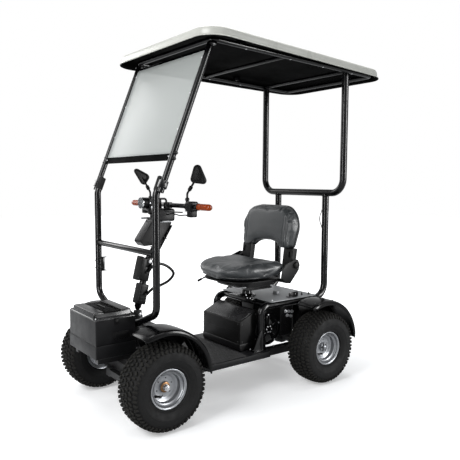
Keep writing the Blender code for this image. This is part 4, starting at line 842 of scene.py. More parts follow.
def make_wheel(end, word, side):
    """One wheel: tyre, tread, rim, hub parts and valve."""
    body = end + "_wheel_" + word
    centre = (side * WHEEL_X, AXLE_Y[end], HUB_Z)
    axis = "X" if side > 0 else "-X"
    lower = [(radius, -height) for radius, height in reversed(TYRE_SECTION)]
    carcass = turned(end + "_tyre_body_" + word, TYRE_SECTION[::-1] + lower[-2::-1], centre, "X",
                     96, True)
    settle(carcass, body, RUBBER, end + "_tyre_" + word, smooth=28)
    fasten(end + "_tread_" + word, lug_item(), tread_spots(centre), body, TREAD, smooth=30)
    dish = [
        (0.0885, 0.057), (0.089, 0.055), (0.089, 0.0525), (0.0768, 0.0515),
        (0.0767, -0.0515), (0.089, -0.0525), (0.089, -0.056), (0.0875, -0.0578),
        (0.085, -0.057), (0.081, -0.053), (0.077, -0.05), (0.073, -0.042),
        (0.0715, -0.03), (0.0712, 0.003), (0.024, 0.0045), (0.0235, -0.019),
        (0.0112, -0.0195), (0.0112, 0.02), (0.021, 0.0205), (0.023, 0.0175),
        (0.0255, 0.014), (0.047, 0.0125), (0.051, 0.014), (0.0545, 0.0185),
        (0.06, 0.0198), (0.0635, 0.0215), (0.0658, 0.029), (0.0672, 0.0375),
        (0.0705, 0.0395), (0.0745, 0.042), (0.0775, 0.05), (0.08, 0.0545),
        (0.0835, 0.057), (0.086, 0.0578),
    ]
    rim = turned(end + "_rim_body_" + word, dish, centre, axis, 96, True)
    settle(rim, body, WHEEL_PAINT, end + "_rim_" + word, smooth=40)
    out = Vector((side, 0, 0))

    def at(reach, radius=0, angle=0):
        return Vector(centre) + out * reach + spoke(radians(angle)) * radius

    if end == "front":
        ring = turned(body + "_brass_ring", [
            (0.01, 0.0205), (0.0225, 0.0205), (0.0235, 0.0222), (0.0225, 0.0245),
            (0.019, 0.0262), (0.015, 0.0268), (0.01, 0.0268)], centre, axis, 40, True)
        settle(ring, body, BRASS)
        nut = gathered(body + "_hub_nut", [
            rod("washer", at(0.0268), at(0.029), 0.014, 32, 0.0005),
            rod("hex", at(0.029), at(0.044), 0.014, 6, 0.0012),
            rod("stub", at(0.044), at(0.047), 0.007, 20, 0.0008)])
        settle(nut, body, ZINC, smooth=30)
    else:
        cap = turned(body + "_hub_cap", [
            (0, 0.04), (0.006, 0.0398), (0.0105, 0.037), (0.012, 0.032),
            (0.0125, 0.0262), (0.0215, 0.0258), (0.0228, 0.024), (0.0228, 0.0175),
            (0, 0.0175)], centre, axis, 40)
        settle(cap, body, WHEEL_PAINT)
        fasten(body + "_hub_bolts", hex_head(across=0.0042, tall=0.0045),
               [(at(0.0255, 0.0172, a), out, UP) for a in range(30, 390, 72)], body, GRIMY,
               slot="silver_rim")
    fasten(body + "_rim_rivets", dome_head(radius=0.0034, tall=0.0018),
           [(at(0.0128, 0.0385, a), out, UP) for a in range(18, 378, 60)], body, GRIMY,
           slot="silver_rim")
    stem = gathered(body + "_valve", [
        rod("base", at(0.017, 0.056, 215), at(0.025, 0.0545, 215), 0.0062, 16, 0.0015),
        rod("stem", at(0.023, 0.055, 215), at(0.044, 0.047, 215), 0.0042, 14, 0.0006),
        rod("cap", at(0.043, 0.0474, 215), at(0.051, 0.0443, 215), 0.005, 12, 0.001)])
    settle(stem, body, TRIM, slot="tyre")


FENDER_SECTION = [
    (-0.0215, 0.0515), (-0.02, 0.0524), (-0.011, 0.0526), (-0.005, 0.0505), (-0.0012, 0.046),
    (0.0008, 0.039), (0.0022, 0.02), (0.003, -0.005), (0.003, -0.035), (0.0022, -0.062),
    (0.0006, -0.081), (-0.0015, -0.0875), (-0.0055, -0.0915), (-0.011, -0.093),
    (-0.0215, -0.093),
]


def make_fender(end, word, side, body):
    """A formed mudguard: crowned across, with a turned-down lip that runs out at its ends."""
    steps = 44
    rows = []
    for i in range(steps + 1):
        part = i / steps
        angle = radians(FENDER_ARC * (1 - part))
        ease = min(part, 1 - part) / 0.1
        keep = 0.45 + 0.55 * min(1, ease) ** 0.5
        pull = 1 if ease >= 1 else 0.9 + 0.1 * (1 - (1 - ease) ** 2)
        row = []
        for depth, across in FENDER_SECTION:
            radius = FENDER_RADIUS + depth * (keep if depth < 0 else 1)
            row.append((side * (WHEEL_X + across * pull), AXLE_Y[end] + radius * cos(angle),
                        FENDER_Z + radius * sin(angle)))
        rows.append(row)
    count = len(FENDER_SECTION)
    points = [point for row in rows for point in row]
    faces = [(r * count + i, r * count + i + 1, (r + 1) * count + i + 1, (r + 1) * count + i)
             for r in range(steps) for i in range(count - 1)]
    arch = from_faces(end + "_fender_body_" + word, points, faces)
    middle = Vector((side * WHEEL_X, AXLE_Y[end], FENDER_Z))
    face = arch.data.polygons[len(arch.data.polygons) // 2]
    if face.normal.dot(face.center - middle) < 0:
        arch.data.flip_normals()
    arch = bevelled(walled(arch, FORMED_WALL, 0), 0.0009, 2, 60)
    settle(arch, body, GLOSS, end + "_fender_" + word, smooth=30)
    if end == "front":
        return
    spots = []
    for angle, across in ((72, -0.055), (72, 0.015), (106, -0.055), (106, 0.015)):
        out = spoke(radians(angle))
        spots.append((middle + out * (FENDER_RADIUS + 0.0034) + Vector((side * across, 0, 0)),
                      out, SIDE))
    fasten("rear_fender_bolts_" + word, dome_head(radius=0.006, tall=0.0032), spots, body, GRIMY)


for word, side in SIDES:
    for end in ("front", "rear"):
        make_wheel(end, word, side)
    make_fender("front", word, side, "knuckle_" + word)
    make_fender("rear", word, side, "chassis")


# Canopy frames

def screen_y(z):
    """How far forward the windscreen lies at a height."""
    return POST_Y + (z - BEND_Z) * SLOPE


def sloping(name, low_x, high_x, low_z, high_z, front, back, edge=0.001):
    """A block in the windscreen's plane, its heights measured before it is leaned."""
    start = (0, POST_Y, BEND_Z)
    length = hypot(1, SLOPE)
    piece = block(name, (low_x, start[1] + front, start[2] + (low_z - start[2]) * length),
                  (high_x, start[1] + back, start[2] + (high_z - start[2]) * length), edge)
    return lean(piece, -atan(SLOPE), start)


def roof_z(y):
    """The height of the roof's lower edge, which falls towards the back."""
    share = (y - ROOF_FRONT_Y) / (ROOF_REAR_Y - ROOF_FRONT_Y)
    return ROOF_FRONT_Z + (ROOF_REAR_Z - ROOF_FRONT_Z) * share


def make_front_hoop():
    """Front posts of bent tube with a cross bar, end welds, clamps and a foot bar."""
    pieces = []
    top = (0, POST_Y + (POST_TOP - BEND_Z) * SLOPE, POST_TOP)
    for side in (-1, 1):
        x = side * POST_X
        path = rounded_path([(side * 0.1, POST_Y, 0.4213), (side * 0.145, POST_Y, 0.4353),
                             (x, POST_Y, KNEE_Z), (x, POST_Y, BEND_Z), (x, top[1], top[2])],
                            0.055)
        pieces.append(tube("post", path, POST_R, resolution=10))
        pieces.append(sloping("lug", x, x + side * POST_R, 1.045, 1.08, -0.008, 0.008))
        weld = turned("weld", [(0.0138, 0), (0.0175, 0), (0.0168, 0.0022), (0.0138, 0.004)],
                      (side * (POST_X - POST_R + 0.001), POST_Y, 0.763),
                      "-X" if side > 0 else "X", 28, True)
        pieces.append(weld)
        pieces.append(rod("cap", (x, top[1] - 0.001, top[2] - 0.002),
                          (x, top[1] + 0.002, top[2] + 0.0035), POST_R - 0.001, 24, 0.0015))
    pieces.append(rod("cross", (-POST_X, POST_Y, 0.763), (POST_X, POST_Y, 0.763), 0.014, 28))
    pieces.append(rod("foot", (-0.105, POST_Y, 0.4203), (0.105, POST_Y, 0.4203), 0.015, 24))
    join("front_hoop_tubes", pieces, "chassis", COAT, "front_hoop")
    for word, side in SIDES:
        x = side * POST_X
        sleeve = tube("post_sleeve_" + word, [(x, screen_y(z), z) for z in (1.036, 1.092)],
                      POST_R + 0.0016, resolution=10)
        settle(sleeve, "chassis", RUBBER, slot="black_plastic")
        strap = sloping("post_clamp_" + word, x + side * POST_R * 0.9, side * (SCREEN_X + 0.0145),
                        1.046, 1.079, -0.0165, 0.0165, 0.003)
        settle(strap, "chassis", COAT)
        heads = [((side * (SCREEN_X + 0.0147), screen_y(z), z), (side, 0, 0), UP)
                 for z in (1.053, 1.072)]
        fasten("post_clamp_bolts_" + word, dome_head(radius=0.0048, tall=0.003), heads, "chassis",
               COAT)


def make_windscreen():
    """The windscreen: leaning side tubes, dark edge strips, a foot panel, a top bar and a pane."""
    inner = SCREEN_X - 0.01
    bar_z = 1.655
    seat = roof_z(LOOP_FRONT_Y) + LOOP_RISE - LOOP_R - 0.0006
    top = seat - 0.004
    pieces = []
    for side in (-1, 1):
        x = side * SCREEN_X
        pieces.append(tube("side", [(x, screen_y(1.03), 1.03), (x, screen_y(top), top)],
                           SCREEN_R, resolution=10))
        pieces.append(sloping("lug", x, side * (SCREEN_X - SCREEN_R), 1.045, 1.08, -0.008, 0.008))
        y = screen_y(seat)
        pieces.append(block("ear", (side * (SCREEN_X - 0.012), y - 0.014, seat - 0.012),
                            (side * 0.348, y + 0.018, seat), 0.002))
    pieces.append(sloping("bar", -inner, inner, bar_z - 0.012, bar_z + 0.012, -0.0031, 0.0031,
                          0.002))
    join("windscreen_tubes", pieces, "chassis", COAT, "windscreen_frame")
    panel = sloping("windscreen_panel", -inner, inner, 1.165, 1.205, -0.003, 0.003, 0.0012)
    settle(panel, "chassis", BLACK_LINING_AND_SHADE)
    strips = []
    for side in (-1, 1):
        strips.append(sloping("strip", side * inner, side * (SCREEN_X - 0.026), 1.195, bar_z,
                              -0.0042, 0.0029, 0.0006))
    join("windscreen_edge_strips", strips, "chassis", COAT, slot="black_trim")
    pane = sloping("windscreen_sheet", -(SCREEN_X - 0.018), SCREEN_X - 0.018, 1.193, bar_z - 0.004,
                   -0.0064, -0.0036, 0.0008)
    settle(pane, "chassis", ACRYLIC, "windscreen_pane")
    tilt = Vector((0, -1, -SLOPE)).normalized()
    heads = []
    for side in (-1, 1):
        for z in (1.182, 1.3, 1.46, 1.62):
            heads.append(((side * (SCREEN_X - 0.022), screen_y(z) - 0.0062, z + 0.0005), tilt,
                          SIDE))
    fasten("windscreen_screws", dome_head(radius=0.0042, tall=0.0026), heads, "chassis", ZINC)
    knobs = []
    for side in (-1, 1):
        for z in (1.172, 1.196):
            start = Vector((side * (SCREEN_X + 0.012), screen_y(z), z))
            end = start + Vector((side * 0.014, 0, 0))
            knobs.append(rod("knob", start, end, 0.0075, 10, 0.0015))
    join("windscreen_knobs", knobs, "chassis", TRIM)


def make_roof_frame():
    """The tube loop inside the roof, its cross tubes, pads and bright bolts."""
    plan = [(0, LOOP_FRONT_Y), (LOOP_X, LOOP_FRONT_Y), (LOOP_X, 0.85), (-LOOP_X, 0.85),
            (-LOOP_X, LOOP_FRONT_Y), (0, LOOP_FRONT_Y)]
    path = rounded_path([(x, y, roof_z(y) + LOOP_RISE) for x, y in plan], 0.03)
    pieces = [tube("loop", path[:-1], LOOP_R, True, 8)]
    for y in (0.2, REAR_Y):
        z = roof_z(y) + LOOP_RISE
        pieces.append(rod("cross", (-LOOP_X, y, z), (LOOP_X, y, z), 0.0105, 24))
    for x in (-LOOP_X, LOOP_X):
        for y in (-0.08, 0.43):
            pieces.append(block("pad", (x - 0.011, y - 0.02, roof_z(y) + LOOP_RISE),
                                (x + 0.011, y + 0.02, roof_z(y) + 0.0445), 0.0015))
    join("roof_tubes", pieces, "chassis", COAT, "roof_frame")
    heads = []
    for x in (-LOOP_X, LOOP_X):
        for y in (-0.08, 0.2, 0.43, REAR_Y):
            heads.append(((x, y + 0.03, roof_z(y) - 0.002), (0, 0, -1), SIDE))
    fasten("roof_bolts", dome_head(radius=0.0052, tall=0.003), heads, "chassis", ZINC)


ROOF_RISE = [
    (0, 0), (0.0005, 0.0008), (0.0042, 0.003), (0.0068, 0.0055), (0.0078, 0.01),
    (0.0088, 0.02), (0.01, 0.028), (0.0125, 0.0355), (0.017, 0.041), (0.024, 0.044),
    (0.034, 0.0452), (0.05, 0.0472), (0.08, 0.052), (0.12, 0.056), (0.16, 0.0588),
    (0.2, 0.06),
]
LIP_LINING = [(0.0003, -0.0032), (0.0062, -0.0004), (0.0098, 0.0028)]


def roof_ring(inset, rise):
    """One ring of the roof: a rounded plan that narrows towards the back."""
    radius = max(0.11 - inset, 0.03)
    right = corner_arc((ROOF_FRONT_HALF - inset - radius, ROOF_FRONT_Y + inset + radius), radius,
                       -90, 0, 14)
    right += corner_arc((ROOF_REAR_HALF - inset - radius, ROOF_REAR_Y - inset - radius), radius,
                        0, 90, 14)
    return [(x, y, roof_z(y) + rise) for x, y in mirrored(right)]


def make_roof():
    """The roof: one thin formed sheet with a lip and a skirt, lined in black underneath."""
    rings = [roof_ring(inset, rise) for inset, rise in ROOF_RISE]
    shell = walled(stacked("roof_sheet", rings, False), FORMED_WALL, -1)
    settle(shell, "chassis", ROOF, "roof_shell", smooth=40)
    inside = [roof_ring(inset, rise) for inset, rise in LIP_LINING]
    inside += [roof_ring(inset + 0.0035, rise - 0.0034) for inset, rise in ROOF_RISE[4:]]
    lining = walled(stacked("roof_lining", inside, False), 0.0008, -1)
    settle(lining, "chassis", BLACK_LINING_AND_SHADE, smooth=40)


def make_rear_frame():
    """The rear hoop, its cross bar and the lower tubes that run forward under the seat."""
    top = roof_z(REAR_Y + REAR_R) + LOOP_RISE - LOOP_R - 0.0003
    hoop = rounded_path([(-REAR_X, REAR_Y, top), (-REAR_X, REAR_Y, CROSS_Z),
                         (REAR_X, REAR_Y, CROSS_Z), (REAR_X, REAR_Y, top)], 0.08, 14)
    pieces = [tube("hoop", hoop, REAR_R, resolution=10)]
    for side in (-1, 1):
        x = side * DECK_X
        middle = (x, AXLE_Y["rear"], DECK_Z)
        path = rounded_path([(x, REAR_Y, CROSS_Z), (x, REAR_Y, DECK_Z), middle], 0.075, 14)
        path += rounded_path([middle, (x, PILLAR_Y, DECK_Z), (x, PILLAR_Y, FLOOR_TOP)],
                             0.045, 12)[1:]
        pieces.append(tube("lower", path, REAR_R, resolution=10))
        pieces.append(turned("weld", [(0.0188, 0), (0.0225, 0), (0.0215, -0.0035),
                                      (0.0188, -0.0055)], (x, REAR_Y, CROSS_Z - REAR_R + 0.003),
                             "Z", 32, True))
        pieces.append(block("bracket", (x + side * 0.005, 0.472, 0.42),
                            (side * 0.2332, 0.516, 0.432)))
        pieces.append(block("foot_flange", (x - 0.03, PILLAR_Y - 0.066, FLOOR_TOP),
                            (x + 0.026, PILLAR_Y + 0.02, 0.2), 0.0012))
        outline = [(0.2, 0.1985), (0.2, 0.24), (0.192, 0.285), (0.185, 0.307),
                   (0.172, 0.307), (0.168, 0.303), (0.12, 0.208), (0.118, 0.1985)]
        pieces.append(slab("gusset", outline, 0.0055, sideways(x + side * 0.0145), 0.0012))
    cross_y = PILLAR_Y + 0.049
    pieces.append(rod("front_cross", (-0.191, cross_y, DECK_Z), (0.191, cross_y, DECK_Z), 0.014,
                      24))
    pieces.append(block("seat_bracket", (-0.1, 0.19, 0.43), (0.1, 0.2345, 0.446), 0.002))
    join("rear_frame_tubes", pieces, "chassis", COAT, "rear_frame")
    heads = [((side * (DECK_X + a), PILLAR_Y + b, 0.2), UP, SIDE) for side in (-1, 1)
             for a, b in ((-0.021, -0.052), (-0.024, 0.006), (0.006, -0.052))]
    heads += [((x, 0.2, 0.446), UP, SIDE) for x in (-0.082, -0.06, 0.06, 0.082)]
    fasten("pillar_foot_bolts", hex_head(across=0.0036, tall=0.004), heads, "chassis", ZINC)


# Front box, floor and drive

BOX = {"x": 0.149, "front": -0.72, "rear": -0.525, "low": 0.298, "seam": 0.359, "top": 0.468}


def make_battery_box():
    """The charcoal battery box: a lower tray, a dark seam, the moulded body and its catches."""
    x, front, rear = BOX["x"], BOX["front"], BOX["rear"]
    tray = block("tray", (-x, front, BOX["low"]), (x, rear, BOX["seam"] - 0.001), 0.004, 4)
    inside = block("inside", (-x + 0.0035, front + 0.0035, BOX["low"] + 0.003),
                   (x - 0.0035, rear - 0.0035, BOX["seam"] + 0.02), 0)
    settle(cut(tray, inside), "chassis", BOX_PLASTIC, "battery_box", smooth=30)
    band = block("battery_box_seam", (-x + 0.0022, front + 0.0022, BOX["seam"] - 0.004),
                 (x - 0.0022, rear - 0.0022, BOX["seam"] + 0.004), 0)
    inside = block("inside", (-x + 0.004, front + 0.004, 0.34), (x - 0.004, rear - 0.004, 0.38), 0)
    settle(cut(band, inside), "chassis", TRIM, slot="black_trim")
    body = block("body", (-x + 0.001, front + 0.001, BOX["seam"] + 0.0008),
                 (x - 0.001, rear - 0.001, BOX["top"] + 0.012), 0.004, 4)
    inside = block("inside", (-x + 0.005, front + 0.005, BOX["seam"] - 0.01),
                   (x - 0.005, rear - 0.005, BOX["top"] + 0.05), 0)
    above = block("above", (-x - 0.01, front - 0.01, BOX["top"]),
                  (x + 0.01, rear + 0.01, BOX["top"] + 0.05), 0)
    body = cut(body, inside, above)
    settle(body, "chassis", BOX_PLASTIC, smooth=30)
    catch = [block("plate", (x - 0.001, -0.632, 0.445), (x + 0.0015, -0.612, 0.4675), 0.0008),
             block("hook", (x + 0.001, -0.628, 0.45), (x + 0.005, -0.616, 0.462), 0.0015),
             block("panel", (x - 0.001, -0.64, 0.374), (x + 0.0028, -0.56, 0.41), 0.0014),
             block("boss", (x - 0.001, -0.628, 0.38), (x + 0.0042, -0.572, 0.404), 0.0016)]
    for z in (0.405, 0.437, 0.456):
        catch.append(block("grip", (-x - 0.006, -0.709, z), (-x + 0.001, -0.69, z + 0.012), 0.0018))
    join("battery_box_catches", catch, "chassis", TRIM)


def make_battery_lid():
    """The stepped lid: a rolled rim, a raised crown and a recess across it with a grip, the recess
    lined near-black as painted shade.
    """
    x, front, rear = BOX["x"], BOX["front"], BOX["rear"]
    low = BOX["top"] + 0.0003

    def ring(inset_x, inset_y, z, radius=0.008):
        plan = rounded_plan(x - inset_x, front + inset_y, rear - inset_y, radius, 5)
        return [(a, b, z) for a, b in plan]

    rings = [ring(0, 0, low), ring(0, 0, low + 0.0035),
             ring(0.0008, 0.0008, low + 0.005), ring(0.0025, 0.002, low + 0.0058),
             ring(0.026, 0.0035, low + 0.0062), ring(0.029, 0.0042, low + 0.0075),
             ring(0.0312, 0.005, low + 0.012), ring(0.033, 0.0058, low + 0.024),
             ring(0.0345, 0.0068, low + 0.0285), ring(0.0375, 0.009, low + 0.031),
             ring(0.042, 0.013, low + 0.0317)]
    lid = stacked("battery_lid_shell", rings)
    channel = block("channel", (-0.13, -0.666, 0.493), (0.13, -0.58, 0.53), 0.003, 3)
    lid = bevelled(cut(lid, channel), 0.0012, 2, 40)
    settle(lid, "battery_lid", LID_PLASTIC, "battery_lid", smooth=30)
    # Painted shade: a near-black sheet lines the channel's floor and walls, and the ribs in it are
    # darker than the lid, where shade falls in the recess.
    liner = [block("floor", (-0.1165, -0.6655, 0.4925), (0.1165, -0.5805, 0.4934), 0.0003)]
    liner += [block("wall", (-0.114, y - 0.0006, 0.4925), (0.114, y + 0.0006, 0.499), 0.0003)
              for y in (-0.6652, -0.5808)]
    join("battery_lid_liner", liner, "battery_lid", BLACK_LINING_AND_SHADE, slot="battery_case")
    ribs = [block("rib", (-0.1, y - 0.0016, 0.492), (0.1, y + 0.0016, 0.4955), 0.0008)
            for y in (-0.645, -0.634, -0.623, -0.612, -0.601)]
    join("battery_lid_ribs", ribs, "battery_lid", TRIM, slot="battery_case")
    path = rounded_path([(-0.045, -0.623, 0.489), (-0.045, -0.623, 0.4995), (0.045, -0.623, 0.4995),
                         (0.045, -0.623, 0.489)], 0.006)
    settle(tube("battery_lid_grip", path, 0.0032), "battery_lid", TRIM)
    tongue = block("tongue", (x - 0.004, -0.63, low + 0.001), (x + 0.0045, -0.614, low + 0.0048),
                   0.0012)
    latch = block("latch", (0.1165, front + 0.0006, low + 0.006), (0.13, front + 0.016, 0.4905),
                  0.0015)
    settle(gathered("battery_lid_tongue", [tongue, latch]), "battery_lid", TRIM)
    pin = rod("battery_lid_latch_pin", (0.133, front + 0.008, low + 0.005),
              (0.133, front + 0.008, low + 0.012), 0.003, 16)
    settle(pin, "battery_lid", ZINC)
    lips = [tube("lip", [(side * (x - 0.002), front + 0.009, low + 0.0056),
                         (side * (x - 0.002), rear - 0.009, low + 0.0056)], 0.0014)
            for side in (-1, 1)]
    join("battery_lid_lips", lips, "battery_lid", LID_PLASTIC)
    heads = [((a, b, low + 0.0062), UP, SIDE) for a in (-0.137, 0.137) for b in (-0.7, -0.545)]
    fasten("battery_lid_screws", dome_head(radius=0.0036, tall=0.0016), heads, "battery_lid",
           GRIMY, slot="battery_case")


def floor_plan(inset):
    """The floor's plan, drawn in by an inset."""
    return mirrored([(0.1 - inset, -0.31 + inset), (0.1 - inset, -0.23 + inset),
                     (0.25 - inset, -0.19 + inset), (0.25 - inset, 0.202 - inset)])


def make_floor():
    """The foot board: a folded sheet with a moulded mat of ribs, screwed down at its corners."""
    sheet = slab("floor_sheet", floor_plan(0), 0.03, lying(0.18), 0)
    under = slab("under", floor_plan(0.0035), 0.03, lying(0.1765), 0)
    sheet = bevelled(cut(sheet, under), 0.0022, 3, 40)
    settle(sheet, "chassis", BOX_PLASTIC, "floor_pan", slot="charcoal_plastic", smooth=30)
    mat = slab("floor_mat", mirrored([(0.088, -0.298), (0.088, -0.222), (0.236, -0.18),
                                      (0.236, 0.052)]), 0.003, lying(0.1963), 0.0012)
    settle(mat, "chassis", MAT)
    item = block("rib_item", (-0.016, -0.002, -0.0005), (0.016, 0.002, 0.0012), 0.0008, 1)
    spots = []
    for row in range(23):
        y = -0.172 + row * 0.0096
        for column in range(13):
            x = (column - 6) * 0.037 + (0.0092 if row % 2 else -0.0092)
            if abs(x) < 0.214:
                spots.append(((x, y, 0.1978), UP, SIDE))
    for row in range(11):
        y = -0.288 + row * 0.0096
        for column in range(5):
            x = (column - 2) * 0.037 + (0.0092 if row % 2 else -0.0092)
            if abs(x) < 0.072:
                spots.append(((x, y, 0.1978), UP, SIDE))
    fasten("floor_mat_ribs", item, spots, "chassis", MAT)
    heads = [((x, y, 0.1952), UP, SIDE) for x in (-0.243, 0.243) for y in (-0.15, 0.04, 0.13)]
    fasten("floor_screws", dome_head(radius=0.0045, tall=0.0022), heads, "chassis", GRIMY)


def make_housing():
    """The cover under the seat: a moulded body, a sloping top panel in lighter, glossier plastic as
    a painted sheen, and a darker plinth.
    """
    outline = [(0.064, 0.1953), (0.185, 0.1953), (0.185, 0.4), (0.173, 0.4), (0.064, 0.35)]
    body = slab("housing_body", outline, 0.33, sideways(0), 0.009, 5)
    settle(body, "chassis", HOUSING, "seat_housing", smooth=30)
    slope = atan2(0.05, 0.109)
    # Painted sheen: the sloping top is a thin panel in the lighter lid plastic, standing in for
    # light falling on the slope.
    panel = block("housing_top_panel", (-0.158, 0.07, 0.3497), (0.158, 0.176, 0.353), 0.0012)
    settle(lean(panel, slope, (0, 0.064, 0.35)), "chassis", LID_PLASTIC, slot="black_plastic")
    plinth = block("housing_plinth", (-0.1665, 0.0622, 0.203), (0.1665, 0.184, 0.234), 0.003, 3)
    settle(plinth, "chassis", TRIM, smooth=30)
    seam = block("housing_seams", (-0.1655, 0.0634, 0.29), (0.1655, 0.0655, 0.2912), 0.0003)
    settle(seam, "chassis", TRIM)
    heads = [((x, 0.064, z), FORE, SIDE) for x in (-0.15, 0.15) for z in (0.245, 0.338)]
    heads += [((side * 0.165, y, z), (side, 0, 0), UP) for side in (-1, 1)
              for y, z in ((0.08, 0.245), (0.17, 0.245), (0.17, 0.38), (0.08, 0.335))]
    fasten("housing_screws", dome_head(radius=0.004, tall=0.002), heads, "chassis", GRIMY,
           slot="black_plastic")


def make_drive():
    """The rear axle with its gear case, the finned motor and the pierced drive disc."""
    y, motor_y, motor_z = AXLE_Y["rear"], 0.25, 0.29
    pieces = [turned("tube", [(0, 0.225), (0.0105, 0.225), (0.0245, 0.224), (0.028, 0.22),
                              (0.028, 0.06), (0.028, -0.22), (0.0245, -0.224),
                              (0.0105, -0.225), (0, -0.225)], (0, y, HUB_Z), "X", 40)]
    pieces.append(turned("gear_case", [
        (0.028, 0.052), (0.04, 0.047), (0.047, 0.038), (0.05, 0.03), (0.05, 0.002),
        (0.053, 0.001), (0.053, -0.005), (0.05, -0.006), (0.05, -0.036), (0.047, -0.044),
        (0.04, -0.051), (0.028, -0.056)], (0, y, HUB_Z), "X", 48, True))
    pieces.append(block("gearbox", (-0.04, motor_y, 0.235), (0.03, y + 0.01, 0.285), 0.008, 4))
    pieces.append(turned("motor", [
        (0, 0.16), (0.04, 0.16), (0.052, 0.156), (0.055, 0.15), (0.055, -0.108),
        (0.052, -0.116), (0.04, -0.12), (0, -0.12)], (0, motor_y, motor_z), "X", 56))
    join("rear_drive_castings", pieces, "chassis", GRIMY, "rear_axle", slot="black_plastic",
         smooth=30)
    fin = block("fin_item", (-0.055, -0.0012, -0.002), (0.055, 0.0012, 0.0045), 0.0008, 1)
    spots = []
    for i in range(36):
        out = spoke(2 * pi * i / 36)
        spots.append((Vector((0.062, motor_y, motor_z)) + out * 0.0545, out, SIDE))
    fasten("motor_fins", fin, spots, "chassis", GRIMY, slot="black_plastic")
    disc = [turned("rim", [(0.086, 0.175), (0.086, 0.17), (0.0845, 0.1685), (0.07, 0.1685),
                           (0.069, 0.17), (0.069, 0.1745), (0.07, 0.1755), (0.0845, 0.1765)],
                   (0, motor_y, motor_z), "X", 72, True),
            turned("hub", [(0, 0.186), (0.012, 0.186), (0.015, 0.183), (0.022, 0.182),
                           (0.024, 0.178), (0.024, 0.164), (0, 0.164)],
                   (0, motor_y, motor_z), "X", 40)]
    for i in range(5):
        angle = radians(90 + 72 * i)
        spread = radians(11)
        outline = []
        for radius, offset in ((0.02, -spread * 1.7), (0.071, -spread), (0.071, spread),
                               (0.02, spread * 1.7)):
            outline.append((motor_y + radius * cos(angle + offset),
                            motor_z + radius * sin(angle + offset)))
        disc.append(slab("spoke", outline, 0.005, sideways(0.172), 0.0012))
    join("drive_disc", disc, "chassis", GLOSS)
    heads = [((0.1765, motor_y + 0.0775 * cos(a), motor_z + 0.0775 * sin(a)), SIDE, UP)
             for a in (radians(18 + 72 * i) for i in range(5))]
    heads += [((0.1825, motor_y + 0.016 * cos(a), motor_z + 0.016 * sin(a)), SIDE, UP)
              for a in (radians(60 * i) for i in range(6))]
    fasten("drive_disc_bolts", hex_head(across=0.0034, tall=0.004), heads, "chassis", ZINC)


def make_deck():
    """The pale deck plate with its edge, bolts, studs and the small black brackets on it."""
    low, top = 0.4423, 0.446
    plate = slab("deck_sheet", rounded_plan(0.22, 0.235, 0.574, 0.012, 6), top - low,
                 lying((low + top) / 2), 0.0009)
    settle(plate, "chassis", SHEET_GREY, "deck_plate", smooth=30)
    spots = [((x, y, top), UP, SIDE) for x, y in (
        (-0.2, 0.255), (0.2, 0.255), (-0.2, 0.39), (-0.2, 0.55), (0.2, 0.55),
        (0, 0.55))]
    fasten("deck_bolts", hex_head(across=0.005, tall=0.0055), spots, "chassis", ZINC)
    outline = rounded_plan(0.034, 0.002, 0.03, 0.006, 4)
    ear = slab("ear", [(0.415 + a, 0.4465 + b) for a, b in outline], 0.0035,
               sideways(0.196), 0.0008)
    ear = cut(ear, rod("hole", (0.18, 0.43, 0.463), (0.21, 0.43, 0.463), 0.0058, 20, 0))
    foot = block("foot", (0.17, 0.383, 0.4461), (0.197, 0.447, 0.4495), 0.0008)
    settle(gathered("deck_brackets", [ear, foot]), "chassis", COAT)
    clip = block("deck_clip", (0.06, 0.385, 0.4461), (0.095, 0.405, 0.464), 0.0015)
    settle(clip, "chassis", SHEET_GREY)
    places = ((0.15, 0.47), (0.175, 0.5), (0.19, 0.54))
    studs = [rod("stud", (x, y, 0.445), (x, y, 0.461), 0.0035, 14, 0.0006) for x, y in places]
    studs += [rod("nut", (x, y, 0.4462), (x, y, 0.4512), 0.0062, 6, 0.0006) for x, y in places]
    join("deck_studs", studs, "chassis", GRIMY)


def make_side_covers():
    """Dark sheet covers: beside the controller, round the steering shaft and inside the fenders."""
    for word, side in SIDES:
        x = side * 0.152
        cover = [block("rear", (x - 0.0012, 0.443, 0.25), (x + 0.0012, 0.6, 0.418), 0.0008)]
        cover.append(block("front", (side * 0.049, -0.523, 0.29),
                           (side * 0.0514, -0.392, 0.402), 0.0008))
        join("side_covers_" + word, cover, "chassis", TRIM)
        for end, body in (("front", "knuckle_" + word), ("rear", "chassis")):
            centre = (AXLE_Y[end], FENDER_Z)
            outline = corner_arc(centre, 0.2145, 36, 112, 24)
            outline += corner_arc(centre, 0.146, 112, 36, 24)
            skirt = slab(end + "_fender_skirt_" + word, outline, 0.0022,
                         sideways(side * (WHEEL_X - 0.0925)), 0.0006)
            settle(skirt, body, TRIM)


def make_power_boxes():
    """The motor controller with its cooling fins and bright terminals, and the charger."""
    for name, low_x, high_x in (("controller", 0.045, 0.17), ("charger", -0.17, -0.055)):
        case = gathered(name + "_case", [
            block("case", (low_x, 0.345, 0.232), (high_x, 0.44, 0.43), 0.007, 4),
            block("hanger", (low_x + 0.01, 0.352, 0.428), (high_x - 0.01, 0.433, 0.442), 0.002)])
        settle(case, "chassis", TRIM, name + "_box", slot="black_trim", smooth=30)
    fin = block("fin_item", (-0.09, -0.0014, -0.001), (0.09, 0.0014, 0.003), 0.0008, 1)
    spots = [((side * 0.17, 0.354 + i * 0.009, 0.331), (side, 0, 0), UP)
             for side in (-1, 1) for i in range(9)]
    fasten("power_box_fins", fin, spots, "chassis", TRIM, slot="black_trim")
    heads = [((0.1722, y, z), SIDE, UP)
             for y, z in ((0.379, 0.368), (0.402, 0.366), (0.426, 0.362), (0.392, 0.344),
                          (0.418, 0.338))]
    fasten("controller_terminals", hex_head(across=0.0082, tall=0.01), heads, "chassis", ZINC)


# Steering

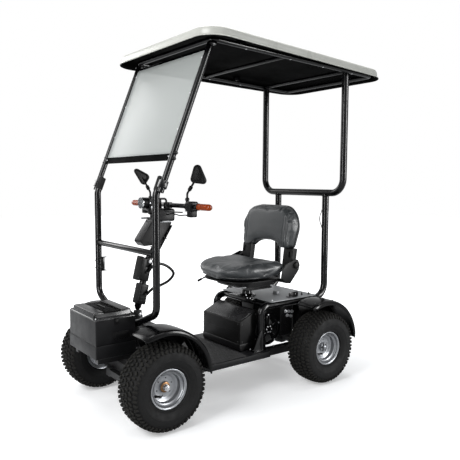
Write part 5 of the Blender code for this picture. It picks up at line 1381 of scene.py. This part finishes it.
def moulded_cover(name, half, front, rear, low, high, corner=0.009):
    """An upright moulded cover: round front corners, drawn in where it starts and ends."""
    middle = (front + rear) / 2
    rings = []
    for z, keep in ((low, 0.93), (low + 0.0012, 0.97), (low + 0.004, 1), (high - 0.005, 1),
                    (high - 0.0014, 0.97), (high, 0.91)):
        right = corner_arc((half - corner, front + corner), corner, -90, 0, 6)
        right += corner_arc((half - 0.003, rear - 0.003), 0.003, 0, 90, 3)
        rings.append([(x * keep, middle + (y - middle) * keep, z) for x, y in mirrored(right)])
    return stacked(name, rings)


def pressed_plate(name, half, front, rear, low, high):
    """An upright plate with round corners and folded sides, open at the back."""
    outline = corner_arc((half - 0.01, low + 0.01), 0.01, -90, 0, 6)
    outline += corner_arc((half - 0.01, high - 0.01), 0.01, 0, 90, 6)
    face = slab(name, mirrored(outline), 0.004, standing(front + 0.002), 0.0014, 2)
    pieces = [face]
    for side in (-1, 1):
        pieces.append(block("fold", (side * (half - 0.003), front + 0.002, low + 0.01),
                            (side * half, rear, high - 0.01), 0.0012))
    return gathered(name, pieces)


def make_column():
    """The lower column: ball joint, boot, two-part cover, front plate and the tilt fork."""
    y, z = COLUMN_FOOT[1:]
    post = [rod("post", (0, y, z), (0, y, z + COLUMN_REACH - 0.026), 0.017, 28),
            block("web", (-0.026, y - 0.014, z + COLUMN_REACH - 0.034),
                  (0.026, y + 0.014, z + COLUMN_REACH - 0.02), 0.002)]
    for side in (-1, 1):
        outline = [(y + 0.015, z + COLUMN_REACH - 0.034)]
        outline += corner_arc((y, z + COLUMN_REACH), 0.015, 0, 180, 14)
        outline += [(y - 0.015, z + COLUMN_REACH - 0.034)]
        post.append(slab("ear", outline, 0.006, sideways(side * 0.023), 0.0012))
    post.append(turned("ball", half_circle(0.014, 15), (0, y, z), "Z", 28))
    settle(lean(gathered("column_post", post), *COLUMN_TILT), "steering_column",
           COAT, "steering_column", slot="black_plastic")
    covers = [moulded_cover("boot", 0.028, y - 0.022, y + 0.022, z + 0.018, z + 0.115, 0.008),
              moulded_cover("cover", 0.0315, y - 0.036, y + 0.01, z + 0.131, z + 0.198),
              pressed_plate("plate", 0.033, y - 0.042, y - 0.018, z + 0.128, z + 0.2446)]
    covers += [block("rib", (-0.0286, y - 0.0226, z + h), (0.0286, y + 0.0226, z + h + 0.003),
                     0.001) for h in (0.034, 0.05, 0.066, 0.082, 0.098)]
    settle(lean(gathered("column_covers", covers), *COLUMN_TILT), "steering_column",
           TRIM, smooth=30)
    heads = [((x, y - 0.0422, z + h), FORE, SIDE) for x in (-0.022, 0.022) for h in (0.142, 0.23)]
    screws = set_out("column_screws", dome_head(radius=0.0036, tall=0.0018), heads, GRIMY)
    settle(lean(screws, *COLUMN_TILT), "steering_column", GRIMY)


CONDUIT_ROUTE = [(-0.402, 0.64), (-0.375, 0.668), (-0.33, 0.676), (-0.285, 0.655),
                 (-0.258, 0.622), (-0.285, 0.59), (-0.33, 0.572), (-0.375, 0.56),
                 (-0.41, 0.535)]


def make_conduit():
    """The ribbed cable sheath that loops out behind the column, with its clips."""
    path = flowing([(0.0395, y, z) for y, z in CONDUIT_ROUTE], 8)
    sheath = tube("column_sheath", path, 0.0066, resolution=6)
    settle(sheath, "steering_column", GLOSS, "column_conduit", smooth=50)
    item = turned("rib_item", [(0.006, -0.0011), (0.0072, -0.0007), (0.0072, 0.0007),
                               (0.006, 0.0011)], (0, 0, 0), "Z", 14, True)
    spots = []
    travelled = 0
    for before, after in zip(path, path[1:]):
        travelled += (after - before).length
        if travelled >= 0.0032:
            travelled = 0
            spots.append((after, (after - before).normalized(), SIDE))
    fasten("column_sheath_ribs", item, spots, "steering_column", GLOSS)
    clips = []
    for y, z in (CONDUIT_ROUTE[0], CONDUIT_ROUTE[-1]):
        clips.append(block("clip", (0.03, y - 0.006, z - 0.004), (0.0455, y + 0.006, z + 0.004),
                           0.0018))
    join("column_sheath_clips", clips, "steering_column", GRIMY)


def make_tiller():
    """The tilting post, its deep front shield, cables, and the console box at its head."""
    y, z = TILT_PIN[1:]
    post = [rod("post", TILT_PIN, (0, y, z + 0.225), 0.016, 28),
            rod("boss", (-0.0195, y, z), (0.0195, y, z), 0.014, 28)]
    for h in (0.12, 0.195):
        post.append(block("arm", (-0.006, y - 0.055, z + h), (0.006, y, z + h + 0.01), 0.001))
    settle(lean(gathered("tiller_post", post), *TILLER_TILT), "tiller", COAT, "tiller",
           slot="black_plastic")
    outline = [(-0.098, 0.054), (-0.07, 0.046), (-0.012, 0.088), (-0.003, 0.104), (-0.003, 0.214),
               (-0.066, 0.214), (-0.098, 0.176), (-0.102, 0.064)]
    shield = [slab("shield", [(y + a, z + b) for a, b in outline], 0.068, sideways(0), 0.004, 4),
              block("seam", (-0.0344, y - 0.062, z + 0.062), (0.0344, y - 0.0606, z + 0.208),
                    0.0004)]
    settle(lean(gathered("tiller_shield", shield), *TILLER_TILT), "tiller", TRIM, smooth=30)
    pin = gathered("tilt_pin", [
        rod("pin", (-0.0315, y, z), (0.0315, y, z), 0.005, 20),
        rod("head", (0.0268, y, z), (0.0318, y, z), 0.009, 6, 0.001),
        rod("nut", (-0.0318, y, z), (-0.0268, y, z), 0.009, 6, 0.001)])
    settle(pin, "tiller", ZINC, smooth=30)
    cables = []
    for x, radius in ((-0.01, 0.004), (0, 0.0046), (0.0095, 0.0036)):
        path = flowing([(x, y + 0.021, z + 0.04), (x, y + 0.0235, z + 0.09),
                        (x, y + 0.0225, z + 0.15), (x, y + 0.0215, z + 0.215)])
        cables.append(tube("cable", path, radius))
    settle(lean(gathered("tiller_cables", cables), *TILLER_TILT), "tiller", GLOSS)
    ties = [block("tie", (-0.0175, y - 0.0165, z + h), (0.0175, y + 0.0285, z + h + 0.004), 0.0015)
            for h in (0.07, 0.14)]
    settle(lean(gathered("tiller_cable_ties", ties), *TILLER_TILT), "tiller", TRIM)
    console = [block("case", (-0.045, -0.345, 0.882), (0.045, -0.25, 0.943), 0.01, 5),
               block("seam", (-0.0454, -0.3454, 0.912), (0.0454, -0.2496, 0.9132), 0.0004),
               block("face", (-0.037, -0.2515, 0.889), (0.037, -0.2485, 0.936), 0.0012),
               block("rocker", (0.012, -0.2495, 0.893), (0.028, -0.245, 0.905), 0.0015),
               block("rocker", (-0.028, -0.2495, 0.893), (-0.012, -0.245, 0.905), 0.0015)]
    for x in (-0.028, 0.028):
        path = rounded_path([(x, -0.33, 0.931), (x, -0.338, 0.992), (x, -0.292, 0.992),
                             (x, -0.288, 0.931)], 0.012)
        console.append(tube("hoop", path, 0.005))
    console.append(rod("hoop_bar", (-0.028, -0.318, 0.992), (0.028, -0.318, 0.992), 0.0046, 18))
    join("tiller_console", console, "tiller", TRIM, smooth=30)
    gauge = block("console_gauge", (-0.026, -0.249, 0.911), (0.026, -0.2472, 0.931), 0.0008)
    settle(gauge, "tiller", GLOSS)
    bars = [block("bar", (-0.022 + i * 0.0092, -0.2474, 0.916),
                  (-0.0152 + i * 0.0092, -0.2466, 0.926), 0.0003) for i in range(5)]
    join("console_gauge_bars", bars, "tiller", AMBER)
    lock = turned("console_key_switch", [
        (0, 0.0045), (0.003, 0.0045), (0.003, 0.0032), (0.0078, 0.0032), (0.0086, 0.002),
        (0.0086, -0.001), (0, -0.001)], (0, -0.2484, 0.899), "Y", 28)
    settle(lock, "tiller", CHROME)
    plate = [block("plate", (-0.034, -0.33, 0.877), (0.046, -0.276, 0.8818), 0.001),
             block("fold", (0.044, -0.326, 0.879), (0.0472, -0.28, 0.885), 0.001),
             block("lever", (-0.056, -0.385, 0.891), (-0.052, -0.333, 0.9), 0.0014),
             rod("lever_pin", (-0.056, -0.337, 0.8955), (-0.044, -0.337, 0.8955), 0.0035, 16)]
    join("console_bracket", plate, "tiller", SHEET_GREY)
    heads = [((side * 0.0452, b, c), (side, 0, 0), UP) for side in (-1, 1)
             for b, c in ((-0.334, 0.924), (-0.262, 0.924), (-0.334, 0.9), (-0.262, 0.9))]
    fasten("console_screws", dome_head(radius=0.0032, tall=0.0018), heads, "tiller", GRIMY)


def make_handlebar():
    """The bar with its clamps, the moulded switch pods and their levers and cables."""
    bar = [rod("bar", (-0.263, BAR_Y, BAR_Z), (0.263, BAR_Y, BAR_Z), 0.011, 28)]
    for x in (-0.012, 0.012):
        bar.append(block("clamp", (x - 0.008, BAR_Y - 0.0145, 0.9433), (x + 0.008, BAR_Y + 0.0145,
                                                                        BAR_Z + 0.014), 0.003, 3))
    join("handlebar_tube", bar, "tiller", COAT, "handlebar", slot="black_plastic")
    for word, side in SIDES:
        x = side * 0.215
        pod = [block("body", (x - 0.0235, BAR_Y - 0.0255, BAR_Z - 0.022),
                     (x + 0.0235, BAR_Y + 0.0215, BAR_Z + 0.0235), 0.008, 4),
               block("box", (x - 0.016, BAR_Y - 0.02, BAR_Z - 0.05),
                     (x + 0.019, BAR_Y + 0.018, BAR_Z - 0.018), 0.005, 3),
               block("seam", (x - 0.024, BAR_Y - 0.0022, BAR_Z - 0.0215),
                     (x + 0.024, BAR_Y - 0.001, BAR_Z + 0.024), 0.0004),
               block("switch", (x - 0.013, BAR_Y + 0.02, BAR_Z + 0.002),
                     (x - 0.002, BAR_Y + 0.0235, BAR_Z + 0.013), 0.0012),
               block("switch", (x + 0.003, BAR_Y + 0.02, BAR_Z + 0.002),
                     (x + 0.014, BAR_Y + 0.0235, BAR_Z + 0.013), 0.0012),
               rod("button", (x, BAR_Y + 0.02, BAR_Z - 0.009),
                   (x, BAR_Y + 0.0242, BAR_Z - 0.009), 0.0052, 20, 0.0012)]
        join("switch_pod_" + word, pod, "tiller", TRIM, smooth=30)
        ring = turned("mirror_clamp_" + word, [
            (0.0112, -0.0085), (0.015, -0.0085), (0.016, -0.007), (0.016, 0.007),
            (0.015, 0.0085), (0.0112, 0.0085)], (side * 0.175, BAR_Y, BAR_Z), "X", 28, True)
        settle(ring, "tiller", TRIM)
        inner = side * 0.168
        ear = block("bar_clamp_" + word, (inner - 0.007, BAR_Y - 0.005, BAR_Z - 0.026),
                    (inner + 0.007, BAR_Y + 0.005, BAR_Z - 0.012))
        settle(ear, "tiller", ZINC)
        lever = slab("lever", [(side * a, b) for a, b in (
            (0.185, 0.026), (0.15, 0.033), (0.11, 0.045), (0.085, 0.056), (0.08, 0.06),
            (0.083, 0.064), (0.09, 0.0625), (0.115, 0.052), (0.152, 0.04), (0.187, 0.034))],
            0.0055, lying(BAR_Z - 0.028), 0.0016)
        lever.data.transform(Matrix.Translation((0, BAR_Y - 0.004, 0))
                             @ Matrix.Diagonal((1, -1, 1, 1)))
        merged(lever)
        settle(gathered("brake_lever_" + word, [lever]), "tiller", COAT, slot="zinc_steel")
        cable = tube("pod_cable_" + word, flowing([
            (side * 0.2, BAR_Y - 0.004, BAR_Z - 0.046), (side * 0.17, BAR_Y - 0.006, 0.918),
            (side * 0.125, BAR_Y - 0.012, 0.915), (side * 0.08, BAR_Y - 0.022, 0.922),
            (side * 0.044, BAR_Y - 0.03, 0.915)]), 0.003)
        settle(cable, "tiller", GLOSS)


def make_bar_lamps():
    """The amber lamps at the ends of the bar: ribbed lenses with a dark collar."""
    for word, side in SIDES:
        profile = [(0, 0.103), (0.004, 0.1027), (0.008, 0.101), (0.0115, 0.098),
                   (0.0138, 0.093), (0.0148, 0.0875)]
        for i in range(14):
            start = 0.085 - i * 0.0052
            profile += [(0.015, start), (0.015, start - 0.0022), (0.0141, start - 0.0032),
                        (0.0141, start - 0.0042)]
        profile += [(0.015, 0.009), (0.015, 0), (0, 0)]
        axis = "X" if side > 0 else "-X"
        lens = turned("bar_lamp_lens_" + word, profile, (side * 0.2633, BAR_Y, BAR_Z), axis, 40)
        settle(lens, "tiller", AMBER, "bar_lamp_" + word, smooth=40)
        collar = turned("bar_lamp_collar_" + word, [
            (0.0151, 0), (0.0166, 0.0004), (0.017, 0.003), (0.0166, 0.008), (0.0151, 0.0086)],
            (side * 0.2633, BAR_Y, BAR_Z), axis, 36, True)
        settle(collar, "tiller", TRIM)


def make_headlamp():
    """The round headlamp: a deep bowl, a bright ring, a reflector with a lens, and its bracket."""
    place = (0, -0.362, 0.972)
    bowl = turned("bowl", [
        (0, 0), (0.011, 0.0006), (0.019, 0.0035), (0.024, 0.0095), (0.0264, 0.018),
        (0.0268, 0.04), (0.0275, 0.042), (0.0275, 0.05), (0.0262, 0.0515), (0.0252, 0.05),
        (0.025, 0.03), (0.018, 0.02), (0, 0.018)], place, "-Y", 48)
    bracket = [block("arm", (-0.008, -0.372, 0.917), (0.008, -0.364, 0.962), 0.0012),
               block("foot", (-0.008, -0.37, 0.917), (0.008, -0.344, 0.925), 0.0012),
               block("yoke", (-0.029, -0.386, 0.942), (0.029, -0.374, 0.945), 0.001)]
    bracket += [block("cheek", (side * 0.0262, -0.386, low), (side * 0.029, -0.374, high), 0.001)
                for low, high in ((0.956, 0.988), (0.942, 0.96)) for side in (-1, 1)]
    settle(gathered("headlamp_bowl", [bowl] + bracket), "tiller", TRIM, "headlamp")
    ring = turned("headlamp_ring", [(0.0249, 0.05), (0.0262, 0.0496), (0.0274, 0.0503),
                                    (0.0275, 0.053), (0.0266, 0.0553), (0.0252, 0.0552)],
                  place, "-Y", 48, True)
    settle(ring, "tiller", CHROME)
    dish = turned("headlamp_reflector", [
        (0.0247, 0.049), (0.0225, 0.043), (0.018, 0.036), (0.011, 0.031), (0.006, 0.03),
        (0.0058, 0.036), (0.0045, 0.0385), (0, 0.039), (0, 0.029), (0.012, 0.0295),
        (0.0195, 0.0345), (0.024, 0.042), (0.0249, 0.049)], place, "-Y", 48)
    settle(dish, "tiller", CHROME)
    glass = turned("headlamp_lens", [
        (0, 0.056), (0.008, 0.0556), (0.016, 0.0545), (0.0225, 0.0528), (0.0248, 0.0512),
        (0.0248, 0.0503), (0, 0.052)], place, "-Y", 48)
    settle(glass, "tiller", LAMP_GLASS, "headlamp_glass", smooth=50)
    heads = [((side * 0.0292, -0.38, 0.972), (side, 0, 0), UP) for side in (-1, 1)]
    fasten("headlamp_bolts", hex_head(across=0.004, tall=0.004), heads, "tiller", ZINC)


def mirror_outline(inset):
    """A mirror head's rounded triangle, drawn in by an inset, as X and Z."""
    outline = corner_arc((0.2895, 1.082), 0.0165 - inset, -95, 32, 6)
    outline += corner_arc((0.257, 1.132), 0.02 - inset, 32, 172, 9)
    return outline + corner_arc((0.245, 1.086), 0.019 - inset, 172, 265, 6)


def make_mirrors():
    """The mirrors: domed heads with silvered glass towards the rider, on jointed stems."""
    for word, side in SIDES:
        rings = []
        for inset, depth in ((0.0035, 0.007), (0.0025, 0.0088), (0.0008, 0.009), (0, 0.0075),
                             (0, 0.002), (0.0012, -0.0025), (0.0035, -0.0058), (0.0075, -0.008),
                             (0.0125, -0.0089), (0.018, -0.009)):
            rings.append([(side * x, BAR_Y + depth, z) for x, z in mirror_outline(inset)])
        turn = (Matrix.Translation((side * 0.264, BAR_Y, 1.1))
                @ Matrix.Rotation(radians(28 if side > 0 else 36), 4, "Z")
                @ Matrix.Rotation(radians(4 if side > 0 else -54), 4, "Y")
                @ Matrix.Diagonal((1, 1, 1, 1) if side > 0 else (0.76, 1, 1.12, 1))
                @ Matrix.Translation((side * -0.264, -BAR_Y, -1.1)))
        head = stacked("head", rings)
        head.data.transform(turn)
        path = rounded_path([(side * 0.175, BAR_Y, 0.9865), (side * 0.175, BAR_Y, 1.02),
                             (side * 0.262, BAR_Y, 1.1)], 0.015)
        stem = tube("stem", path, 0.005)
        start, end = Vector((side * 0.1925, BAR_Y, 1.036)), Vector((side * 0.209, BAR_Y, 1.0512))
        joint = [rod("joint", start, end, 0.0092, 18, 0.002),
                 turned("ball", half_circle(0.0105, 18), (side * 0.175, BAR_Y, 0.992), "Z", 24),
                 rod("nut", (side * 0.175, BAR_Y, 0.9713), (side * 0.175, BAR_Y, 0.985), 0.0085, 6,
                     0.0012)]
        settle(gathered("mirror_head_" + word, [head, stem] + joint), "tiller", TRIM,
               "mirror_" + word, smooth=40)
        face = slab("mirror_glass_" + word, [(side * x, z) for x, z in mirror_outline(0.0038)],
                    0.0012, standing(BAR_Y + 0.0083), 0.0003)
        face.data.transform(turn)
        settle(face, "tiller", MIRROR)


def make_front_details():
    """Kingpin nuts, stay bolts, a joint under the column, a bracket on the far post, a wire."""
    for word, side in SIDES:
        x = side * 0.225
        y = AXLE_Y["front"]
        nut = gathered("kingpin_nuts_" + word, [
            rod("washer", (x, y, 0.2545), (x, y, 0.2562), 0.0125, 24, 0.0004),
            rod("nut", (x, y, 0.2562), (x, y, 0.265), 0.01, 6, 0.0012),
            rod("tip", (x, y, 0.264), (x, y, 0.269), 0.0058, 16, 0.0008)])
        settle(nut, "knuckle_" + word, ZINC, smooth=30)
        lip = side * (WHEEL_X - 0.0965)
        heads = [((lip - side * 0.004, y + b, c), (-side, 0, 0), UP)
                 for b, c in ((-0.008, 0.418), (0.008, 0.418), (0, 0.395))]
        fasten("fender_stay_bolts_" + word, hex_head(across=0.0042, tall=0.0045), heads,
               "knuckle_" + word, ZINC)
    y = COLUMN_FOOT[1]
    joint = gathered("shaft_joint", [
        turned("collar", [(0.0121, 0), (0.0185, 0.001), (0.0195, 0.003), (0.0195, 0.011),
                          (0.0185, 0.013), (0.0121, 0.014)], (0, y, 0.408), "Z", 32, True),
        rod("bolt", (-0.024, y, 0.4385), (0.024, y, 0.4385), 0.0045, 18),
        rod("head", (0.0225, y, 0.4385), (0.027, y, 0.4385), 0.0082, 6, 0.001)])
    settle(joint, "steering_shaft", ZINC, smooth=30)
    hook = [block("plate", (-0.2985, POST_Y + 0.015, 0.614), (-0.2955, POST_Y + 0.034, 0.686),
                  0.001)]
    hook += [block("flange", (-0.305, POST_Y + 0.014, low), (-0.28, POST_Y + 0.042, high), 0.001)
             for low, high in ((0.614, 0.6172), (0.6828, 0.686))]
    hook += [rod("band", (-POST_X, POST_Y, low), (-POST_X, POST_Y, high), POST_R + 0.0022, 28)
             for low, high in ((0.628, 0.634), (0.666, 0.672))]
    join("post_bracket", hook, "chassis", COAT)
    wire = tube("frame_wire", flowing([
        (DECK_X, REAR_Y - 0.0195, 0.929), (DECK_X, REAR_Y - 0.03, 0.915),
        (DECK_X, REAR_Y - 0.046, 0.872), (DECK_X, REAR_Y - 0.03, 0.828),
        (DECK_X, REAR_Y - 0.0195, 0.81)]), 0.0023)
    settle(wire, "chassis", GRIMY)


# Seat

SWELL_FRAMES = 20
COVER_CLOTH = {"quality": 5, "mass": 0.3, "tension_stiffness": 25, "compression_stiffness": 25,
               "bending_stiffness": 1.5, "use_pressure": True, "uniform_pressure_force": 4,
               "vertex_group_mass": "held"}


def inflate(pad, cap, hold):
    """Fill a cover with air, as foam fills vinyl: its base is held and its swelling is capped."""
    pad = bake(modify(pad, "REMESH", mode="VOXEL", voxel_size=0.005))
    start = [vert.co.copy() for vert in pad.data.vertices]
    group = pad.vertex_groups.new(name="held")
    held = [i for i, place in enumerate(start) if hold(place)]
    group.add(held, 1, "REPLACE")
    cloth = pad.modifiers.new("air", "CLOTH")
    for key, value in COVER_CLOTH.items():
        setattr(cloth.settings, key, value)
    cloth.settings.effector_weights.gravity = 0
    cloth.point_cache.frame_start = 1
    cloth.point_cache.frame_end = SWELL_FRAMES
    for frame_number in range(1, SWELL_FRAMES + 1):
        SCENE.frame_set(frame_number)
    graph = bpy.context.evaluated_depsgraph_get()
    moved = pad.evaluated_get(graph).to_mesh()
    places = [vert.co.copy() for vert in moved.vertices]
    pad.evaluated_get(graph).to_mesh_clear()
    pad.modifiers.clear()
    for vert, first, last in zip(pad.data.vertices, start, places):
        step = last - first
        if step.length > cap:
            step *= cap / step.length
        vert.co = first + step
    SCENE.frame_set(1)
    modify(pad, "SMOOTH", factor=0.5, iterations=4)
    return bake(modify(pad, "SUBSURF", levels=1, render_levels=1))


def shaped(pad, move):
    """Move each point of a pad by a rule, along its own normal."""
    normals = [vert.normal.copy() for vert in pad.data.vertices]
    for vert, normal in zip(pad.data.vertices, normals):
        vert.co += normal * move(vert.co, normal)
    return pad


def hump(value, centre, width):
    """A smooth bump, one high, round a value."""
    return exp(-((value - centre) / width) ** 2)


CUSHION = {"x": 0.222, "front": -0.006, "rear": 0.35, "low": 0.5575}
FOLD = (0, 0.385, 0.632)
BACK_TILT = (-radians(8), FOLD)


def cushion_plan(shrink):
    """The cushion's plan, with wide front corners, drawn in by a share of its size."""
    right = corner_arc((CUSHION["x"] - 0.165, CUSHION["front"] + 0.165), 0.165, -90, 0, 12)
    right += corner_arc((CUSHION["x"] - 0.045, CUSHION["rear"] - 0.045), 0.045, 0, 90, 8)
    middle = (CUSHION["front"] + CUSHION["rear"]) / 2
    return [(x * (1 - shrink), middle + (y - middle) * (1 - shrink)) for x, y in mirrored(right)]


def cushion_top(x, y):
    """The cushion's crown: a falling front edge, low side bolsters and a dished middle."""
    across = abs(x) / CUSHION["x"]
    depth = (y - CUSHION["front"]) / (CUSHION["rear"] - CUSHION["front"])
    rise = 1 - (1 - min(depth / 0.55, 1)) ** 2.2
    dish = 0.011 * hump(across, 0, 0.55) * hump(depth, 0.62, 0.34)
    return 0.62 + 0.022 * rise + 0.002 * across ** 2 - dish


def make_cushion():
    """The seat cushion in grey vinyl: simulated foam, creases and a line of piping."""
    rings = []
    for z_share, shrink in ((0, 0.44), (0.07, 0.31), (0.2, 0.18), (0.38, 0.08), (0.53, 0.024),
                            (0.66, 0), (0.76, 0.008), (0.86, 0.034), (0.94, 0.074),
                            (1, 0.13), (1, 0.2),
                            (1, 0.32), (1, 0.46), (1, 0.6), (1, 0.74), (1, 0.88)):
        ring = [(x, y, CUSHION["low"] + (cushion_top(x, y) - CUSHION["low"]) * z_share)
                for x, y in cushion_plan(shrink)]
        rings.append(ring)
    pad = inflate(stacked("seat_cushion_cover", rings), 0.009, lambda p: p.z < 0.561)
    middle = Vector((0.03, 0.15, 0.62))

    def creases(place, normal):
        if normal.z < 0.15:
            return 0
        away = Vector((place.x - middle.x, place.y - middle.y, 0))
        angle = atan2(away.y, away.x)
        spread = min(away.length / 0.1, 1) * hump(away.length, 0.11, 0.09)
        folds = sin(angle * 9 + 2.4 * noise.noise(place * 14)) * spread
        return 0.0008 * folds * normal.z + 0.0009 * noise.noise(place * 22)

    pad = shaped(pad, creases)
    settle(pad, "seat", VINYL, "seat_cushion", smooth=80)
    path = [(x, y, 0.579) for x, y in cushion_plan(0.118)]
    settle(tube("seat_piping", path, 0.0036, True, 5), "seat", PIPING)


def back_plan(inset):
    """The backrest's outline with its arched lower edge, as X and Z."""
    half = 0.216 - inset
    low = 0.712 + inset
    right = [(0, low + 0.04), (0.03, low + 0.0395), (0.06, low + 0.036),
             (0.085, low + 0.029), (0.105, low + 0.019), (0.12, low + 0.007), (0.132, low)]
    right += corner_arc((half - 0.044, low + 0.03), 0.03, -90, 0, 5)
    right += corner_arc((half - 0.118, 0.951 - inset - 0.118), 0.118, -4, 90, 10)
    return right + [(-x, z) for x, z in reversed(right[1:])]


def make_backrest():
    """The backrest: a padded front with two sewn channels on a textured shell with legs."""
    rear = FOLD[1] + 0.02
    pad = slab("backrest_cover", back_plan(0.003), 0.046, standing(rear - 0.0235), 0)
    pad = bevelled(pad, 0.018, 5, 60)
    pad = inflate(pad, 0.01, lambda p: p.y > rear - 0.004)

    def channels(place, normal):
        if normal.y > -0.2:
            return 0
        crown = 0.006 * (1 - (place.x / 0.24) ** 2) * (1 - ((place.z - 0.84) / 0.16) ** 2)
        seam = hump(abs(place.x), 0.172, 0.0045) + 0.5 * hump(abs(place.x), 0.15, 0.004)
        reach = 1 / (1 + exp((place.z - 0.9) / 0.006)) * (1 / (1 + exp((0.735 - place.z) / 0.006)))
        ripple = 0.001 * noise.noise(Vector((place.x * 9, place.y * 9, place.z * 30)))
        return crown - 0.003 * seam * reach + 0.5 * ripple

    pad = lean(shaped(pad, channels), *BACK_TILT)
    settle(pad, "backrest", VINYL, "backrest_pad", smooth=80)
    edge = [(x, rear - 0.001, z) for x, z in back_plan(0.003)]
    piping = lean(tube("backrest_piping", edge, 0.0042, True, 5), *BACK_TILT)
    settle(piping, "backrest", PIPING)

    plate = slab("plate", back_plan(0.006), 0.01, standing(rear + 0.0053), 0.0035, 3)
    pieces = [plate]
    for side in (-1, 1):
        leg = block("leg", (side * 0.14, FOLD[1] - 0.009, FOLD[2] - 0.022),
                    (side * 0.214, rear + 0.008, 0.72), 0.006, 4)
        plan = rounded_plan(0.0058, -0.018, 0.018, 0.005, 4)
        slot = slab("slot", [(side * a, b) for a, b in plan], 0.2, standing(0.4), 0)
        slot.data.transform(Matrix.Translation((side * 0.192, 0, 0.684)))
        pieces.append(cut(leg, slot))
        pieces.append(block("strut", (side * 0.141, rear + 0.0013, FOLD[2]),
                            (side * 0.18, rear + 0.009, 0.762), 0.003))
        pieces.append(rod("hub", (side * 0.206, FOLD[1], FOLD[2]), (side * 0.233, FOLD[1], FOLD[2]),
                          0.0215, 32, 0.003))
        pieces.append(rod("pin", (side * 0.15, FOLD[1], FOLD[2]), (side * 0.25, FOLD[1], FOLD[2]),
                          0.006, 24))
        boss = turned("boss", [(0, 0.0155), (0.012, 0.015), (0.017, 0.012), (0.0185, 0.007),
                               (0.0185, 0), (0, 0)],
                      (side * 0.2412, FOLD[1], FOLD[2]), "X" if side > 0 else "-X", 32)
        pieces.append(boss)
    for z in (0.79, 0.83, 0.87, 0.91):
        half = 0.15 if z < 0.9 else 0.11
        pieces.append(block("rib", (-half, rear + 0.0085, z - 0.0025), (half, rear + 0.0125,
                                                                        z + 0.0025), 0.0012))
    shell = lean(gathered("backrest_shell_moulding", pieces), *BACK_TILT)
    settle(shell, "backrest", SEAT_SHELL, "backrest_shell", smooth=30)
    spots = [((x, rear + 0.0101, z), (0, 1, 0), SIDE) for x in (-0.185, 0.185)
             for z in (0.775, 0.885)]
    bolts = set_out("backrest_bolts", dome_head(radius=0.0055, tall=0.003), spots, ZINC)
    settle(lean(bolts, *BACK_TILT), "backrest", ZINC)


def make_seat_base():
    """The pan under the cushion: a moulded tray, hinge cheeks, slide and lock levers."""
    rear = 0.352
    pan = slab("pan", rounded_plan(0.176, 0.09, rear, 0.05, 6), 0.014, lying(0.5487), 0.005, 3)
    tray = slab("tray", rounded_plan(0.128, 0.125, rear, 0.04, 6), 0.028, lying(0.5313), 0.006, 3)
    lip = slab("lip", cushion_plan(0.16), 0.007, lying(0.553), 0.002, 2)
    bar = block("rear_bar", (-0.238, rear - 0.03, 0.538), (0.238, rear - 0.002, 0.554), 0.004, 3)
    pieces = [pan, tray, lip, bar]
    outline = [(rear - 0.034, 0.54), (rear - 0.004, 0.536), (0.408, 0.602), (0.413, 0.62),
               (0.413, 0.64), (0.403, 0.659), (0.385, 0.664), (0.366, 0.658),
               (0.312, 0.64), (0.29, 0.612), (0.282, 0.572)]
    for side in (-1, 1):
        pieces.append(slab("cheek", outline, 0.006, sideways(side * 0.238), 0.0018, 3))
    join("seat_pan_moulding", pieces, "seat", SEAT_SHELL, "seat_pan", smooth=30)
    slide = rounded_path([(-0.13, 0.16, 0.55), (-0.13, 0.055, 0.551), (-0.13, 0.015, 0.537)], 0.02)
    grip = rod("grip", (-0.13, 0.028, 0.5418), (-0.13, 0.002, 0.5326), 0.0065, 18, 0.003)
    lock = rod("lock", (0, 0.13, 0.519), (0, 0.062, 0.544), 0.0035, 14)
    knob = turned("knob", [(0, 0.03), (0.0065, 0.0285), (0.0092, 0.024), (0.0085, 0.014),
                           (0.006, 0.004), (0.0055, 0), (0, 0)], (0, 0, 0), "Z", 24)
    knob.data.transform(Matrix.Translation((0, 0.066, 0.5424))
                        @ Matrix.Rotation(radians(68), 4, "X"))
    settle(gathered("seat_levers", [tube("slide_lever", slide, 0.004), grip, lock, knob]), "seat",
           TRIM)
    linkage = [tube("crank", rounded_path([(0.034, 0.132, 0.5195), (0.058, 0.094, 0.5195),
                                           (0.112, 0.094, 0.5195), (0.122, 0.138, 0.5195)], 0.012),
                    0.003),
               block("clip", (-0.09, 0.104, 0.516), (-0.066, 0.128, 0.522), 0.001)]
    join("seat_slide_linkage", linkage, "seat", ZINC)
    flange = turned("seat_post_flange", [(0.0226, 0.03), (0.026, 0.027), (0.028, 0.012),
                                         (0.035, 0.007), (0.05, 0.006), (0.0515, 0.0045),
                                         (0.0515, 0.0003), (0.0226, 0.0003)],
                    (0, 0.245, 0.446), "Z", 48, True)
    settle(flange, "chassis", COAT)
    heads = [((0.04 * cos(a), 0.245 + 0.04 * sin(a), 0.4528), UP, SIDE)
             for a in (radians(45 + 90 * i) for i in range(4))]
    fasten("seat_post_bolts", hex_head(across=0.0045, tall=0.005), heads, "chassis", ZINC)


make_battery_box()
make_battery_lid()
make_floor()
make_housing()
make_drive()
make_deck()
make_power_boxes()
make_side_covers()
make_cushion()
make_backrest()
make_seat_base()
make_front_hoop()
make_windscreen()
make_roof_frame()
make_roof()
make_rear_frame()
make_column()
make_conduit()
make_tiller()
make_handlebar()
make_bar_lamps()
make_headlamp()
make_mirrors()
make_front_details()

for name, material in (("chassis_frame", GRIMY), ("front_axle", GRIMY),
                       ("battery_block", TRIM), ("steering_shaft", GRIMY), ("tie_rod", ZINC),
                       ("knuckle_left", GRIMY), ("knuckle_right", GRIMY),
                       ("seat_pedestal", COAT), ("seat_swivel", COAT)):
    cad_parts[name].data.materials.clear()
    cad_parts[name].data.materials.append(material)
